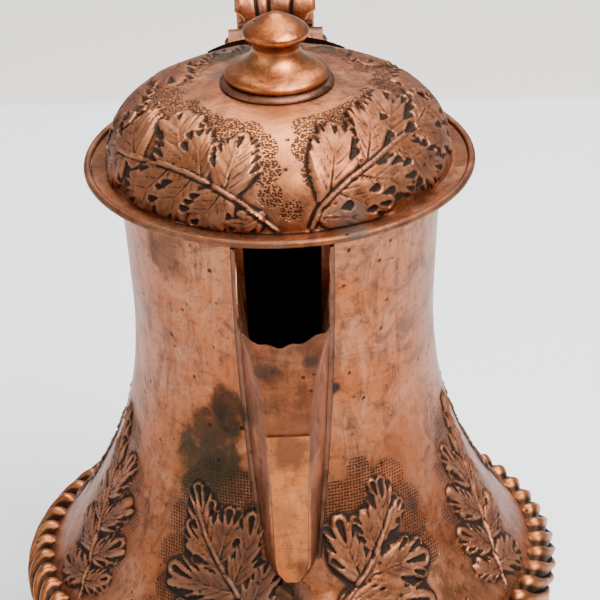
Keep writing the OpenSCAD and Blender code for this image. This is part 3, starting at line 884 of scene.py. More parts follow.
@dataclass(frozen=True)
class Vessel:
    """The raised body: an embossed shoulder, a plain upper neck and the chased band round its shoulder."""

    neck: NeckCurve
    join_z: float = 150.0
    top_z: float = 229.1
    wall: float = WALL
    leaf_z: float = 86.0
    window_half: float = 13.6
    window_low: float = 172.0
    window_w: float = 12.5
    band_z: float = 77.0
    bead_r: float = 7.5
    seam: float = 4.0
    lobe_depth: float = 2.7
    gadroons: int = 58

    def shoulder(self) -> bpy.types.Object:
        """The flared lower neck with its embossed acanthus leaves.

        Returns:
            The piece's object.
        """
        angle = uneven_angles(95, 450, 190)
        heights = np.linspace(self.neck.shoulder_z, self.join_z, 2000)
        up_all = self.neck.arc(heights)
        up = np.linspace(0, up_all[-1], 142)
        z = np.interp(up, up_all, heights)
        r = self.neck.radius(z)
        plain = round_axis(angle[None, :], r[:, None], z[:, None])
        above_leaf_foot = up - float(self.neck.arc(self.leaf_z))
        work = chase_round(plain.shape[:2], angle, r, above_leaf_foot, SHOULDER_LEAVES)
        fade = np.clip(np.minimum(up, up[-1] - up) / 3.0, 0, 1)[:, None]
        outer = displaced(plain, work["height"] * fade)
        inner_z = np.linspace(self.neck.shoulder_z, self.join_z, 10)
        inner = round_axis(angle[None, :], self.neck.radius(inner_z)[:, None] - self.wall, inner_z[:, None])
        obj = sheet("neck_shoulder", outer, inner)
        # Hollows get painted shade and grime; raised relief gets a painted highlight with rubbed wear.
        paint(obj, {Mask.HOLLOW: work["hollow"] * fade, Mask.CREST: work["highlight_and_wear"] * fade,
                    Mask.MATTING: work["matting"] * fade, Mask.PATINA: 0.85 * work["patina"] * fade})
        flat_x = (r[:, None] * turn_apart(angle, 0)[None, :]).ravel()
        lay_out(obj, np.stack([flat_x, np.repeat(up, len(angle))], axis=1))
        smooth(obj)
        return obj

    def upper_neck(self) -> bpy.types.Object:
        """The plain neck above the leaves, with the window that lets water into the spout.

        Returns:
            The piece's object.
        """
        half = self.window_half
        columns = 29
        window = np.linspace(-half, half, columns)
        rest = np.linspace(half, 360 - half, 302)[1:-1]
        angle = np.radians(np.concatenate([window, rest]))
        sill = self.window_low + self.window_w
        low_rows, high_rows = 40, 50
        levels = np.concatenate([np.linspace(self.join_z, sill, low_rows, endpoint=False),
                                 np.linspace(sill, self.top_z, high_rows)])
        z = np.repeat(levels[:, None], len(angle), axis=1)
        across = self.window_w * np.sin(angle[:columns]) / math.sin(math.radians(half))
        foot = sill - np.sqrt(np.clip(self.window_w**2 - across**2, 0, None))
        share = (levels[: low_rows + 1] - self.join_z) / (sill - self.join_z)
        z[: low_rows + 1, :columns] = self.join_z + share[:, None] * (foot[None, :] - self.join_z)
        points = round_axis(np.repeat(angle[None, :], len(levels), axis=0), self.neck.radius(z), z)
        faces = []
        for i in range(len(levels) - 1):
            for j in range(len(angle)):
                if i >= low_rows and j < columns - 1:
                    continue
                k = (j + 1) % len(angle)
                base = i * len(angle)
                faces.append((base + j, base + k, base + len(angle) + k, base + len(angle) + j))
        obj = new_object("neck_upper", points.reshape(-1, 3), faces)
        take(obj)
        bpy.ops.object.mode_set(mode="EDIT")
        bpy.ops.mesh.select_all(action="SELECT")
        bpy.ops.mesh.delete_loose()
        bpy.ops.object.mode_set(mode="OBJECT")
        solid = obj.modifiers.new("wall", "SOLIDIFY")
        solid.thickness = self.wall * MM
        solid.offset = -1
        apply_all(obj)
        smooth(obj)
        return obj

    def band(self) -> bpy.types.Object:
        """The widest band, chased into slanting lobes that overlap like a rope's strands.

        Returns:
            The piece's object.
        """
        per_lobe = 15
        angle = np.linspace(0, 2 * math.pi, self.gadroons * per_lobe, endpoint=False)
        turn = np.radians(np.linspace(-76, 112, 38))
        slant = 1.55 * np.sin(turn) + 0.30 * np.cos(turn) ** 2
        phase = (self.gadroons * angle[None, :] / (2 * math.pi) + slant[:, None]) % 1.0
        swell = np.sin(math.pi * phase**1.5) ** 0.70
        low = np.clip((turn - turn[0]) / 0.40, 0, 1)[:, None]
        high = np.clip((turn[-1] - turn) / 0.20, 0, 1)[:, None]
        head = np.exp(-(((turn - math.radians(78)) / 0.42) ** 2))[:, None] * swell * 0.9
        wobble = 0.25 * np.sin(7 * angle + 1)[None, :] + 0.20 * np.sin(23 * angle)[None, :]
        depth = (self.lobe_depth + wobble) * (1 - swell) * (0.35 + 0.65 * low) * high - head * high
        bead = np.minimum(self.bead_r - depth, self.bead_r / np.maximum(np.cos(turn)[:, None], 0.3))
        r = self.neck.shoulder_r + bead * np.cos(turn)[:, None]
        z = self.band_z + bead * np.sin(turn)[:, None]
        outer = round_axis(np.repeat(angle[None, :], len(turn), axis=0), r, z)
        rim_r, low_z, high_z = self.neck.shoulder_r, self.band_z - self.seam, self.band_z + self.seam
        inner_r = rim_r - self.wall
        back = np.array([(rim_r + 1.7, self.band_z - 6.8), (rim_r + 0.1, low_z), (inner_r, low_z),
                         (inner_r, high_z), (rim_r + 0.1, high_z), (rim_r - 2.0, self.band_z + 6.6)])
        inner = round_axis(angle[None, :], back[:, :1], back[:, 1:])
        obj = sheet("gadroon_band", outer, inner)
        # Painted shade and grime in the grooves between lobes and where the band meets the body; a painted
        # highlight on the lobes' tops.
        groove = np.clip(1 - swell, 0, 1) ** 1.1
        ragged = np.clip(1 - low * high, 0, 1) * 0.5
        paint(obj, {Mask.HOLLOW: np.clip(groove * 1.6 + ragged, 0, 1),
                    Mask.CREST: np.clip((swell - 0.75) * 1.6, 0, 1)})
        smooth(obj, 60)
        return obj


@dataclass(frozen=True)
class Spout:
    """The beak spout: a trough with a flat front that stands against the neck and opens at a worn lip."""

    neck: NeckCurve
    foot_z: float = 111.0
    lip_z: float = 204.0
    lip_y: float = 74.5
    bend_z: float = 160.0
    bend_y: float = 66.0
    top_z: float = 229.1
    wall: float = WALL
    rows: int = 150
    columns: int = 97

    def front(self, z: float) -> float:
        """Measures how far the front face stands from the vessel's axis.

        Args:
            z: height above the base.

        Returns:
            The distance at that height.
        """
        if z < self.bend_z:
            return self.bend_y + 5 * ((self.bend_z - z) / 49) ** 2
        return self.bend_y + (self.lip_y - self.bend_y) * ((z - self.bend_z) / 44) ** 1.7

    def panel(self, z: float) -> float:
        """Half the width of the flat front."""
        return 6 + 0.03 * (z - self.foot_z) + 5.2 * (max(0.0, z - 155) / 49) ** 2

    def groove(self, z: float) -> float:
        """Half the width between the two seams on the neck."""
        return 15.2 - 7.4 * (max(0.0, self.neck.mouth_z - z) / 120) ** 2.4

    def on_neck(self, x: float, z: float) -> tuple[float, float, float]:
        """A place on the neck's outside."""
        radius = float(self.neck.radius(z)) + 0.05
        return x, -math.sqrt(radius**2 - x * x), z

    def rib(self, share: float, inset: float) -> np.ndarray:
        """One rib of the trough from its left seam round the front to its right seam.

        Args:
            share: 0 at the foot and 1 at the lip.
            inset: distance in from the outside.

        Returns:
            The rib's points.
        """
        zf = self.foot_z + (self.lip_z - self.foot_z) * share
        zb = self.foot_z + (self.top_z - self.foot_z) * share
        zc = zf + 0.22 * (zb - zf)
        g, p, y = self.groove(zb) - inset, self.panel(zf) - inset, self.front(zf) - inset
        back = self.on_neck(g, zb)
        half = [back, ((g + p + 0.6) / 2, (back[1] - y + 1.6) / 2, (zb + zc) / 2), (p + 0.3, 1.8 - y, zc),
                (p - 0.7, 0.4 - y, zf + 0.1 * (zb - zf)), (p - 2.4, -y, zf)]
        line = np.array([(-a, b, c) for a, b, c in half] + [(0, -y, zf)] + half[::-1])
        ext = np.vstack([2 * line[0] - line[1], line, 2 * line[-1] - line[-2]])
        u = np.linspace(0, len(line) - 1 - 1e-9, self.columns)
        k = u.astype(int)
        t = (u - k)[:, None]
        a, b, c, d = ext[k], ext[k + 1], ext[k + 2], ext[k + 3]
        smooth_line = 0.5 * (2 * b + (c - a) * t + (2 * a - 5 * b + 4 * c - d) * t**2
                             + (3 * b - a - 3 * c + d) * t**3)
        pinch = min(1.0, math.sqrt(share / 0.05) if share > 0 else 0.0)
        if pinch < 1:
            x = smooth_line[:, 0] * (0.55 + 0.45 * pinch)
            radius = self.neck.radius(smooth_line[:, 2]) + 0.05
            wall = -np.sqrt(radius**2 - x * x)
            y = wall + (smooth_line[:, 1] - wall) * pinch
            smooth_line = np.stack([x, y, smooth_line[:, 2]], axis=1)
        return smooth_line

    def trough(self) -> bpy.types.Object:
        """The trough itself, with a ragged, thinned lip.

        Returns:
            The piece's object.
        """
        side = np.linspace(-1, 1, self.columns)
        ragged = (0.012 * np.sin(9 * side + 1.0) + 0.009 * np.sin(23 * side + 2.0) + 0.007 * np.sin(51 * side)
                  + 0.012 * np.exp(-(((side + 0.30) / 0.12) ** 2))
                  - 0.034 * np.exp(-(((side + 0.03) / 0.12) ** 2)))
        ragged += 0.045 * (1 - np.exp(-((side / 0.14) ** 2))) * np.exp(-((side / 0.55) ** 4))
        ragged *= np.clip((0.85 - np.abs(side)) / 0.25, 0, 1)
        shares = np.linspace(0, 1.06, self.rows)
        outside = np.stack([self.rib(s, 0.0) for s in shares])
        inside = np.stack([self.rib(s, self.wall) for s in shares])
        top = (1 + (ragged - 0.006) * np.clip((1 - np.abs(side)) * 6, 0, 1)) / 1.06
        outer, inner = np.empty_like(outside), np.empty_like(inside)
        for j in range(self.columns):
            for axis in range(3):
                outer[:, j, axis] = np.interp(shares * top[j], shares, outside[:, j, axis])
                inner[:, j, axis] = np.interp(shares * top[j], shares, inside[:, j, axis])
        thin = np.clip((shares - 0.9) / 0.1, 0, 1)[:, None, None] * 0.70
        inner = inner * (1 - thin) + outer * thin
        keep = np.clip((1 - np.abs(side)) * 5, 0, 1)[None, :]
        dents = unevenness(outer, 31, 26, 0.28) * keep * np.clip(shares * 6, 0, 1)[:, None]
        outer, inner = displaced(outer, dents, wrap=False), displaced(inner, dents, wrap=False)
        obj = sheet("spout", outer, inner, wrap=False)
        outward(obj)
        count = len(obj.data.vertices)
        co = np.empty(count * 3, np.float32)
        obj.data.vertices.foreach_get("co", co)
        z = co.reshape(-1, 3)[:, 2] / MM
        y = -co.reshape(-1, 3)[:, 1] / MM
        rim = np.clip((z - (self.lip_z - 3.5) - 0.5 * (self.lip_y - y)) / 2.5, 0, 1)
        rim *= np.clip((y - 56) / 5, 0, 1)
        face = np.clip((z - 150) / 22, 0, 1) * np.clip((y - 60) / 5, 0, 1) * 0.9
        paint(obj, {Mask.TIN: 0.45 * rim, Mask.PATINA: face})
        smooth(obj, 55)
        return obj


# ---------------------------------------------------------------- pieces of the lid


@dataclass(frozen=True)
class Lid:
    """The domed lid: an embossed sheet with a broad flange, a boss, a knob and the leaf at its hinge."""

    dome: DomeCurve
    flange_r: float = 62.6
    flange_t: float = 1.2
    bore_r: float = 3.0
    wall: float = WALL
    boss_top: float = 30.6
    stud_top: float = 42.0
    knob_top: float = 53.0
    leaf_w: float = 23.5
    wire_r: float = 1.28
    leaf_fixed_r: float = 50.0

    def section_rows(self) -> tuple[np.ndarray, np.ndarray, np.ndarray]:
        """Lays out the rows of the outside, from the rim to the bore.

        Returns:
            Each row's radius, height and distance from the flange.
        """
        base = self.dome.base_z
        flange = [(self.flange_r, base + 0.6), (self.flange_r - 0.3, base + self.flange_t)]
        inward = np.linspace(self.flange_r - 1, self.dome.radius + 1.0, 6)
        flange += [(r, base + self.flange_t) for r in inward]
        rise = self.dome.section(150)
        rise = rise[(rise[:, 1] > base + self.flange_t + 0.5) & (rise[:, 0] > self.bore_r)]
        r = np.concatenate([[f[0] for f in flange], [self.dome.radius + 0.3], rise[:, 0], [self.bore_r]])
        z = np.concatenate([[f[1] for f in flange], [base + self.flange_t + 0.15], rise[:, 1],
                            [float(self.dome.height(self.bore_r))]])
        beyond_dome = np.array([f[0] for f in flange]) - self.dome.radius
        up = np.concatenate([-beyond_dome, [0.0], rise[:, 2], [99.0]])
        return r, z, up

    def sheet(self) -> bpy.types.Object:
        """The dome and flange in one sheet, with two leaf sprays before and two behind.

        Returns:
            The piece's object.
        """
        angle = uneven_angles(105, 400, 150)
        r, z, up = self.section_rows()
        plain = round_axis(angle[None, :], r[:, None], z[:, None])
        leaves = (Placed(LID_LEFT, 0), Placed(LID_RIGHT, 0),
                  Placed(LID_LEFT, 180, depth=0.55), Placed(LID_RIGHT, 180, depth=0.55))
        work = chase_round(plain.shape[:2], angle, r, up, leaves, fixed_r=self.leaf_fixed_r)
        fade = (np.clip(up / 2.5, 0, 1) * np.clip((47 - up) / 4, 0, 1))[:, None]
        waves = unevenness(plain, 12, 45, 0.22) * np.clip((r - 19) / 4, 0, 1)[:, None]
        lift = work["height"] * fade + waves
        outer = displaced(plain, lift)
        away = (0.5 - 0.5 * np.cos(angle))[None, :]
        on_flange = np.clip(-up / 1.5, 0, 1)[:, None]
        flange, tarnish = on_flange * (0.36 + 0.50 * away), on_flange * 0.62 * away**0.7
        base = self.dome.base_z
        inside = self.dome.section(22)
        keep = inside[inside[:, 0] > self.bore_r + 1]
        inner_r = np.concatenate([[self.flange_r], [self.dome.radius - self.wall],
                                  keep[1:, 0] * (1 - self.wall / self.dome.radius), [self.bore_r]])
        inner_z = np.concatenate([[base], [base],
                                  keep[1:, 1] - self.wall * (keep[1:, 1] - base) / self.dome.rise,
                                  [float(self.dome.height(self.bore_r)) - self.wall]])
        obj = sheet("lid_sheet", outer, round_axis(angle[None, :], inner_r[:, None], inner_z[:, None]))
        # Painted shade and grime in the corner where the dome rises from the flange.
        corner = np.exp(-((up / 1.3) ** 2))[:, None] * (0.55 + 0.3 * np.sin(3 * angle + 1)[None, :])
        shaded_and_grimy = np.maximum(np.maximum(work["hollow"] * fade, corner), tarnish)
        tarnished = np.maximum(flange, 0.55 * work["patina"] * fade)
        # Hollows and that corner get painted shade and grime, the flange its tarnish; raised relief gets a
        # painted highlight with rubbed wear.
        paint(obj, {Mask.HOLLOW: shaded_and_grimy, Mask.CREST: work["highlight_and_wear"] * fade,
                    Mask.STIPPLE: work["matting"] * fade, Mask.PATINA: tarnished})
        flat_x = turn_apart(angle, 0)[None, :] * r[:, None]
        lay_out(obj, np.stack([flat_x.ravel(), np.repeat(up, len(angle))], axis=1))
        smooth(obj)
        return obj

    def rim_wire(self) -> bpy.types.Object:
        """The rolled wire round the flange, a little uneven from use.

        Returns:
            The piece's object.
        """
        top = self.dome.base_z
        centre_r = self.flange_r + 1.1
        ring = [(centre_r + self.wire_r * math.cos(a), top + 1.0 + self.wire_r * math.sin(a))
                for a in np.linspace(math.radians(-205), math.radians(205), 28)
                if centre_r + self.wire_r * math.cos(a) > self.flange_r + 0.02]
        obj = spun("lid_rim_wire", ring + ring[:1], 256)
        reshape(obj, lambda p: p + np.array([0, 0, 1.0]) * unevenness(p, 8, 60, 0.06)[:, None])
        count = len(obj.data.vertices)
        paint(obj, {Mask.PATINA: np.full(count, 0.8), Mask.TIN: np.full(count, 0.40)})
        smooth(obj, 70)
        return obj

    def boss(self) -> bpy.types.Object:
        """The low round cushion under the knob.

        Returns:
            The piece's object.
        """
        base = self.dome.base_z
        under = [(r, float(self.dome.height(r)) + 0.02) for r in np.linspace(self.bore_r, 18.4, 10)]
        edge_z = under[-1][1]
        top = base + self.boss_top
        side = [(18.9, edge_z + 0.5), (18.9, top - 1.6), (18.4, top - 0.7), (17.4, top - 0.05)]
        obj = spun("knob_boss", under + side + [(self.bore_r, top - 0.05)] + under[:1], 128)
        smooth(obj, 40)
        return obj

    def knob(self) -> bpy.types.Object:
        """The turned knob: a flared foot, a narrow waist and a low conical cap with a worn edge.

        Returns:
            The piece's object.
        """
        base = self.dome.base_z
        top = base + self.knob_top
        foot = base + self.boss_top
        curve = spline([(16.4, foot + 0.05), (17.3, foot + 0.9), (17.3, foot + 2.0), (16.0, foot + 3.2),
                        (12.8, foot + 4.6), (9.9, foot + 6.6), (8.2, foot + 9.2), (7.9, foot + 11.2),
                        (8.8, foot + 13.0), (10.6, foot + 14.5), (11.0, foot + 15.7), (10.5, foot + 16.9),
                        (8.4, foot + 18.6), (5.2, foot + 20.5), (2.6, foot + 21.9)], 64)
        outline = [(self.bore_r, foot + 0.05)] + [(float(a), float(b)) for a, b in curve]
        inner = [(1.2, top - 0.12), (0.0, top)]
        stud_top = base + self.stud_top
        stud = [(0.0, stud_top), (self.bore_r, stud_top), (self.bore_r, foot + 0.05)]
        obj = spun("knob", outline + inner + stud, 144)

        def worn(p: np.ndarray) -> np.ndarray:
            """Leaves the turned outside slightly uneven.

            Args:
                p: the knob's points.

            Returns:
                The moved points.
            """
            fade = np.clip((p[:, 2] - foot) / 2, 0, 1) * np.clip((top - p[:, 2]) / 3, 0, 1)
            outside = np.hypot(p[:, 0], p[:, 1]) > self.bore_r + 0.2
            return p + p * np.array([1, 1, 0]) * (unevenness(p, 5, 16, 0.010) * fade * outside)[:, None]

        reshape(obj, worn)
        smooth(obj, 45)
        return obj

    def hinge_leaf(self) -> bpy.types.Object:
        """The arched leaf that spreads from the hinge over the dome, beaded behind and rolled in front.

        Returns:
            The piece's object.
        """
        base = self.dome.base_z
        side = np.linspace(-1, 1, 141)[None, :]
        t = np.linspace(0, 1, 44)[:, None]
        x = self.leaf_w * side * (0.62 + 0.38 * t**0.7)
        front = 50.0 - 8.0 * side**2
        back = 61.4 - 7.0 * np.abs(side) ** 2.2
        y = back + (front - back) * t
        low, high = base + 19.4 - 1.6 * side**2, base + 22.8 - 1.5 * side**4
        z = low + (high - low) * t**0.8
        roll = 0.75 * np.exp(-(((1 - t) * 11 / 1.3) ** 2))
        flutes = 0.34 * np.cos(side * 26) * (1 - t) ** 0.6 * np.clip(t * 4, 0, 1) * (1 - np.abs(side) ** 6)
        beads = np.abs(np.sin(math.pi * x / 2.4)) ** 0.7 * np.exp(-(((t - 0.13) / 0.06) ** 2))
        plate = np.stack([x, y + 0 * x, z + roll + flutes + beads], axis=-1)[:, ::-1]
        under = np.stack([x, y + 0 * x, z - 1.3 + 0 * x], axis=-1)[:, ::-1]
        obj = sheet("hinge_leaf", plate, under, wrap=False)
        outward(obj)
        # Painted shade in the flute troughs, and painted shadow along the front edge and over the whole
        # underside.
        shaded = np.clip(-flutes / 0.34, 0, 1) * np.clip(1 - t * 0.9, 0, 1)
        shaded = np.maximum(shaded, 0.85 * np.exp(-(((1 - t) / 0.025) ** 2)))[:, ::-1]
        paint(obj, {Mask.HOLLOW: np.concatenate([shaded.ravel(), np.ones(under[..., 0].size)])})
        smooth(obj, 60)
        return obj


# ---------------------------------------------------------------- the handle


@dataclass(frozen=True)
class Handle:
    """The strap handle: a broad strap that stands on the hinge, arches over and returns to the shoulder."""

    neck: NeckCurve
    half_w: float = 14.25
    nose_w: float = 10.9
    thickness: float = 2.2
    slits: tuple[float, ...] = (-6.5, -2.2, 5.8)

    def line(self) -> np.ndarray:
        """Draws the outer line of the strap, from the hinge to the shoulder.

        Returns:
            Its points in Y and Z.
        """
        parts = [np.linspace((76, 235), (76, 253), 14),
                 bezier([(76, 253), (76, 261), (88, 264), (100, 264)], 30),
                 bezier([(100, 264), (114, 264), (124, 250), (124, 224)], 34),
                 bezier([(124, 224), (124, 180), (98, 150), (64, 104)], 70)]
        path = np.vstack([parts[0]] + [p[1:] for p in parts[1:]])
        away = path[:, 0] - self.neck.radius(np.maximum(path[:, 1], self.neck.shoulder_z))
        return path[(away > 2.6) | (path[:, 1] > 200)]

    def strap(self) -> bpy.types.Object:
        """The strap, with flutes and slits chased into its nose and rounded edges.

        Returns:
            The piece's object.
        """
        path = self.line()
        along = np.gradient(path, axis=0)
        along /= np.linalg.norm(along, axis=1, keepdims=True)
        out = np.stack([-along[:, 1], along[:, 0]], axis=1)
        run = np.concatenate([[0], np.cumsum(np.hypot(*np.diff(path, axis=0).T))])
        wide = np.clip((path[:, 1] - 250.8) / 4, 0, 1)
        wide = np.where(run > 18, 1.0, wide)
        half = self.nose_w + (self.half_w - self.nose_w) * wide
        side = np.sin(np.linspace(-math.pi / 2, math.pi / 2, 61))[None, :]
        x = half[:, None] * side
        edge = 0.9 * np.clip((np.abs(side) - 0.86) / 0.14, 0, 1) ** 2
        nose = np.exp(-(((run - 22) / 11) ** 2))[:, None]
        spread = 0.75 + 0.012 * run[:, None]
        slits = sum(np.exp(-(((x - at * spread) / 0.75) ** 2)) for at in self.slits)
        flute = -0.8 * nose * slits
        ridge = -0.35 * np.exp(-((np.abs(side) - 0.8) / 0.07) ** 2) * (1 - nose)
        drop = edge - flute - ridge
        far = np.stack([x, path[:, :1] + 0 * x, path[:, 1:] + 0 * x], axis=-1)
        normal = np.stack([0 * out[:, 0], out[:, 0], out[:, 1]], axis=-1)[:, None, :]
        outer = far - normal * drop[..., None]
        inner = far - normal * (self.thickness - 0.5 * edge)[..., None]
        for grid in (outer, inner):
            r = np.hypot(grid[..., 0], grid[..., 1])
            least = self.neck.radius(np.maximum(grid[..., 2], self.neck.shoulder_z)) + 1.68
            push = np.where((r < least) & (grid[..., 2] < 200), least / r, 1.0)
            grid[..., 0] *= push
            grid[..., 1] *= push
        obj = sheet("handle_strap", outer, inner, wrap=False)
        # Painted shade in the slits and flutes of the nose.
        paint(obj, {Mask.HOLLOW: np.clip(1.3 * nose * slits, 0, 1)})
        outward(obj)
        smooth(obj, 55)
        return obj


# ---------------------------------------------------------------- finishes


class Value:
    """A node's output, with arithmetic that adds Math nodes."""

    def __init__(self, tree: "Finish", socket: bpy.types.NodeSocket) -> None:
        """Wraps a socket.

        Args:
            tree: the finish it belongs to.
            socket: the output.
        """
        self.tree, self.socket = tree, socket

    def __add__(self, other: "Value | float") -> "Value":
        """Sum."""
        return self.tree.math("ADD", self, other)

    __radd__ = __add__

    def __mul__(self, other: "Value | float") -> "Value":
        """Product."""
        return self.tree.math("MULTIPLY", self, other)

    __rmul__ = __mul__

    def __sub__(self, other: "Value | float") -> "Value":
        """Difference."""
        return self.tree.math("SUBTRACT", self, other)

    def __rsub__(self, other: float) -> "Value":
        """Difference from a number."""
        return self.tree.math("SUBTRACT", other, self)


@dataclass(frozen=True)
class ColourPatch:
    """A round, ragged patch of colour, used both for stained spots and for painted light and shade: its
    centre and radius in millimetres, its colour and strength.
    """

    centre: Point
    radius: float
    colour: Colour
    strength: float = 0.8
    dull: float = 0.6


@dataclass(frozen=True)
class MetalLook:
    """Colours and wear of one metal."""

    base: Colour
    warm: Colour
    pale: Colour
    dark: Colour
    roughness: float = 0.40
    metallic: float = 1.0
    grime: float = 0.35
    dents: float = 0.5
    pits: float = 0.9
    colour_patches: tuple[ColourPatch, ...] = ()


class Finish:
    """Builds one procedural metal from a look."""

    def __init__(self, name: str, look: MetalLook) -> None:
        """Makes the material and its nodes.

        Args:
            name: the material's name.
            look: its colours and wear.
        """
        self.look = look
        self.material = bpy.data.materials.new(name)
        self.material.use_nodes = True
        self.nodes = self.material.node_tree.nodes
        self.nodes.clear()
        self.place = self.out(self.node("ShaderNodeTexCoord"), "Object")
        self.flat = self.out(self.node("ShaderNodeUVMap", {"uv_map": LAID_FLAT}), "UV")
        self.build()

    def node(self, kind: str, settings: dict | None = None, inputs: dict | None = None) -> bpy.types.Node:
        """Adds a node.

        Args:
            kind: its type.
            settings: its properties.
            inputs: values or links for its inputs, by name or number.

        Returns:
            The node.
        """
        made = self.nodes.new(kind)
        for key, value in (settings or {}).items():
            setattr(made, key, value)
        for key, value in (inputs or {}).items():
            if isinstance(value, Value):
                self.material.node_tree.links.new(value.socket, made.inputs[key])
            else:
                made.inputs[key].default_value = value
        return made

    def out(self, made: bpy.types.Node, key: str | int = 0) -> Value:
        """One of a node's outputs."""
        return Value(self, made.outputs[key])

    def math(self, way: str, a: Value | float, b: Value | float) -> Value:
        """A Math node."""
        return self.out(self.node("ShaderNodeMath", {"operation": way}, {0: a, 1: b}))

    def noise(self, scale: float, detail: float = 4, rough: float = 0.55, place: Value | None = None,
              warp: float = 0.0) -> Value:
        """Smooth noise.

        Args:
            scale: how fine it is, per metre.
            detail: layers of finer noise.
            rough: strength of the finer layers.
            place: where it is read, or None for the plain place.
            warp: how far it is distorted.

        Returns:
            The noise, near 0.5.
        """
        made = self.node("ShaderNodeTexNoise", None, {
            "Vector": place or self.place, "Scale": scale, "Detail": detail, "Roughness": rough,
            "Distortion": warp})
        return self.out(made)

    def cells(self, scale: float, randomness: float, feature: str = "F1") -> Value:
        """Measures the distance within cells in space.

        Args:
            scale: cells per metre.
            randomness: how irregular the cells are.
            feature: which distance.

        Returns:
            The distance.
        """
        made = self.node("ShaderNodeTexVoronoi", {"feature": feature}, {
            "Vector": self.place, "Scale": scale, "Randomness": randomness})
        return self.out(made, "Distance")

    def dots(self, scale: float, randomness: float) -> Value:
        """Measures the distance from the nearest punch mark on the flat sheet.

        Args:
            scale: marks per millimetre.
            randomness: how irregular the marks are.

        Returns:
            The distance.
        """
        made = self.node("ShaderNodeTexVoronoi", {"voronoi_dimensions": "2D"}, {
            "Vector": self.flat, "Scale": scale, "Randomness": randomness})
        return self.out(made, "Distance")

    def step(self, value: Value, low: float, high: float) -> Value:
        """Goes smoothly from 0 at low to 1 at high."""
        return self.out(self.node("ShaderNodeMapRange", {"interpolation_type": "SMOOTHSTEP"},
                                  {"Value": value, "From Min": low, "From Max": high}))

    def mix(self, share: Value | float, a: Value | Colour, b: Value | Colour) -> Value:
        """Mixes two colours."""
        return self.out(self.node("ShaderNodeMix", {"data_type": "RGBA"}, {0: share, 6: a, 7: b}), 2)

    def mask(self, which: Mask) -> Value:
        """A mask painted on the mesh."""
        settings = {"attribute_name": which.value, "attribute_type": "GEOMETRY"}
        return self.out(self.node("ShaderNodeAttribute", settings), "Fac")

    def stretched(self, by: Point) -> Value:
        """The place, stretched along the axes."""
        made = self.node("ShaderNodeVectorMath", {"operation": "MULTIPLY"}, {0: self.place, 1: by})
        return self.out(made)

    def near(self, colour_patch: ColourPatch) -> Value:
        """Marks one patch of colour, stained spot and painted light alike.

        Args:
            colour_patch: the stain.

        Returns:
            Its strength in its middle and 0 outside its ragged edge.
        """
        centre = tuple(c * MM for c in colour_patch.centre)
        gap = self.node("ShaderNodeVectorMath", {"operation": "DISTANCE"}, {0: self.place, 1: centre})
        away = self.out(gap, 1)
        ragged = away * (1 / (colour_patch.radius * MM)) + (self.noise(130, 5, 0.7) - 0.5) * 1.7
        return (1 - self.step(ragged, 0.45, 1.05)) * colour_patch.strength

    def bump(self, height: Value, distance: float, strength: float, under: Value | None = None) -> Value:
        """Adds dents to the surface's normal.

        Args:
            height: how high each place stands.
            distance: millimetres between heights 0 and 1.
            strength: share of the dents that shows.
            under: dents already there.

        Returns:
            The new normal.
        """
        inputs = {"Height": height, "Distance": distance * MM, "Strength": strength}
        if under:
            inputs["Normal"] = under
        return self.out(self.node("ShaderNodeBump", None, inputs))

    def build(self) -> None:
        """Colour, shine and dents of worn metal: mottled patches, stained spots, painted highlights and
        painted shade, punch marks, pits and hollows darkened by grime and painted shade.
        """
        look = self.look
        hollow, highlight_and_wear = self.mask(Mask.HOLLOW), self.mask(Mask.CREST)
        matting, stipple = self.mask(Mask.MATTING), self.mask(Mask.STIPPLE)
        patch = self.step(self.noise(20, 6, 0.62, warp=0.8), 0.40, 0.62)
        speck = self.step(self.noise(90, 7, 0.70, warp=0.8), 0.50, 0.66)
        film = self.step(self.noise(42, 7, 0.66, warp=1.4), 0.46, 0.66)
        streak = self.noise(200, 6, 0.70, self.stretched((1, 1, 0.22)), 0.9)
        fine = self.noise(420, 5, 0.7)
        drips = self.step(self.noise(60, 6, 0.65, self.stretched((1, 1, 0.16))), 0.53, 0.70)
        colour = self.mix(patch * 0.85, look.base, look.warm)
        colour = self.mix(film * 0.45, colour, look.pale)
        brushed = self.noise(260, 5, 0.7, self.stretched((0.25, 0.25, 1)), 0.9)
        colour = self.mix(drips * look.grime, colour, look.dark)
        colour = self.mix(speck * look.grime, colour, look.dark)
        colour = self.mix(self.step(streak, 0.48, 0.66) * 0.50, colour, look.dark)
        colour = self.mix(self.step(brushed, 0.52, 0.68) * 0.35, colour, look.dark)
        colour = self.mix(self.step(fine, 0.52, 0.70) * 0.60, colour, look.dark)
        dot_grid = self.dots(0.92, 0.22)
        dot_free = self.dots(1.05, 0.85)
        matted = self.step(matting + (self.noise(200) - 0.5) * 0.5, 0.15, 0.5)
        stippled = self.step(stipple + (self.noise(160) - 0.5) * 0.6, 0.1, 0.5)
        grid = (1 - self.step(dot_grid, 0.20, 0.45)) * matted
        free = (1 - self.step(dot_free, 0.24, 0.50)) * stippled
        punched = self.math("MAXIMUM", grid, free)
        pit_cells = self.cells(170, 1.0)
        pit = (1 - self.step(pit_cells, 0.07, 0.15)) * self.step(self.noise(38, 3), 0.47, 0.57) * look.pits
        brown = self.mask(Mask.PATINA) * (0.45 + self.step(self.noise(75, 6, 0.7), 0.35, 0.65) * 0.55)
        colour = self.mix(brown * 0.85, colour, look.dark)
        dull = brown * 0.55
        for colour_patch in look.colour_patches:
            share = self.near(colour_patch)
            colour = self.mix(share, colour, colour_patch.colour)
            dull = dull + share * colour_patch.dull
        # Painted shade, with grime, in hollows, creases and under the hinge leaf.
        shade_and_grime = self.step(hollow + (self.noise(300, 4) - 0.5) * 0.35, 0.14, 0.75)
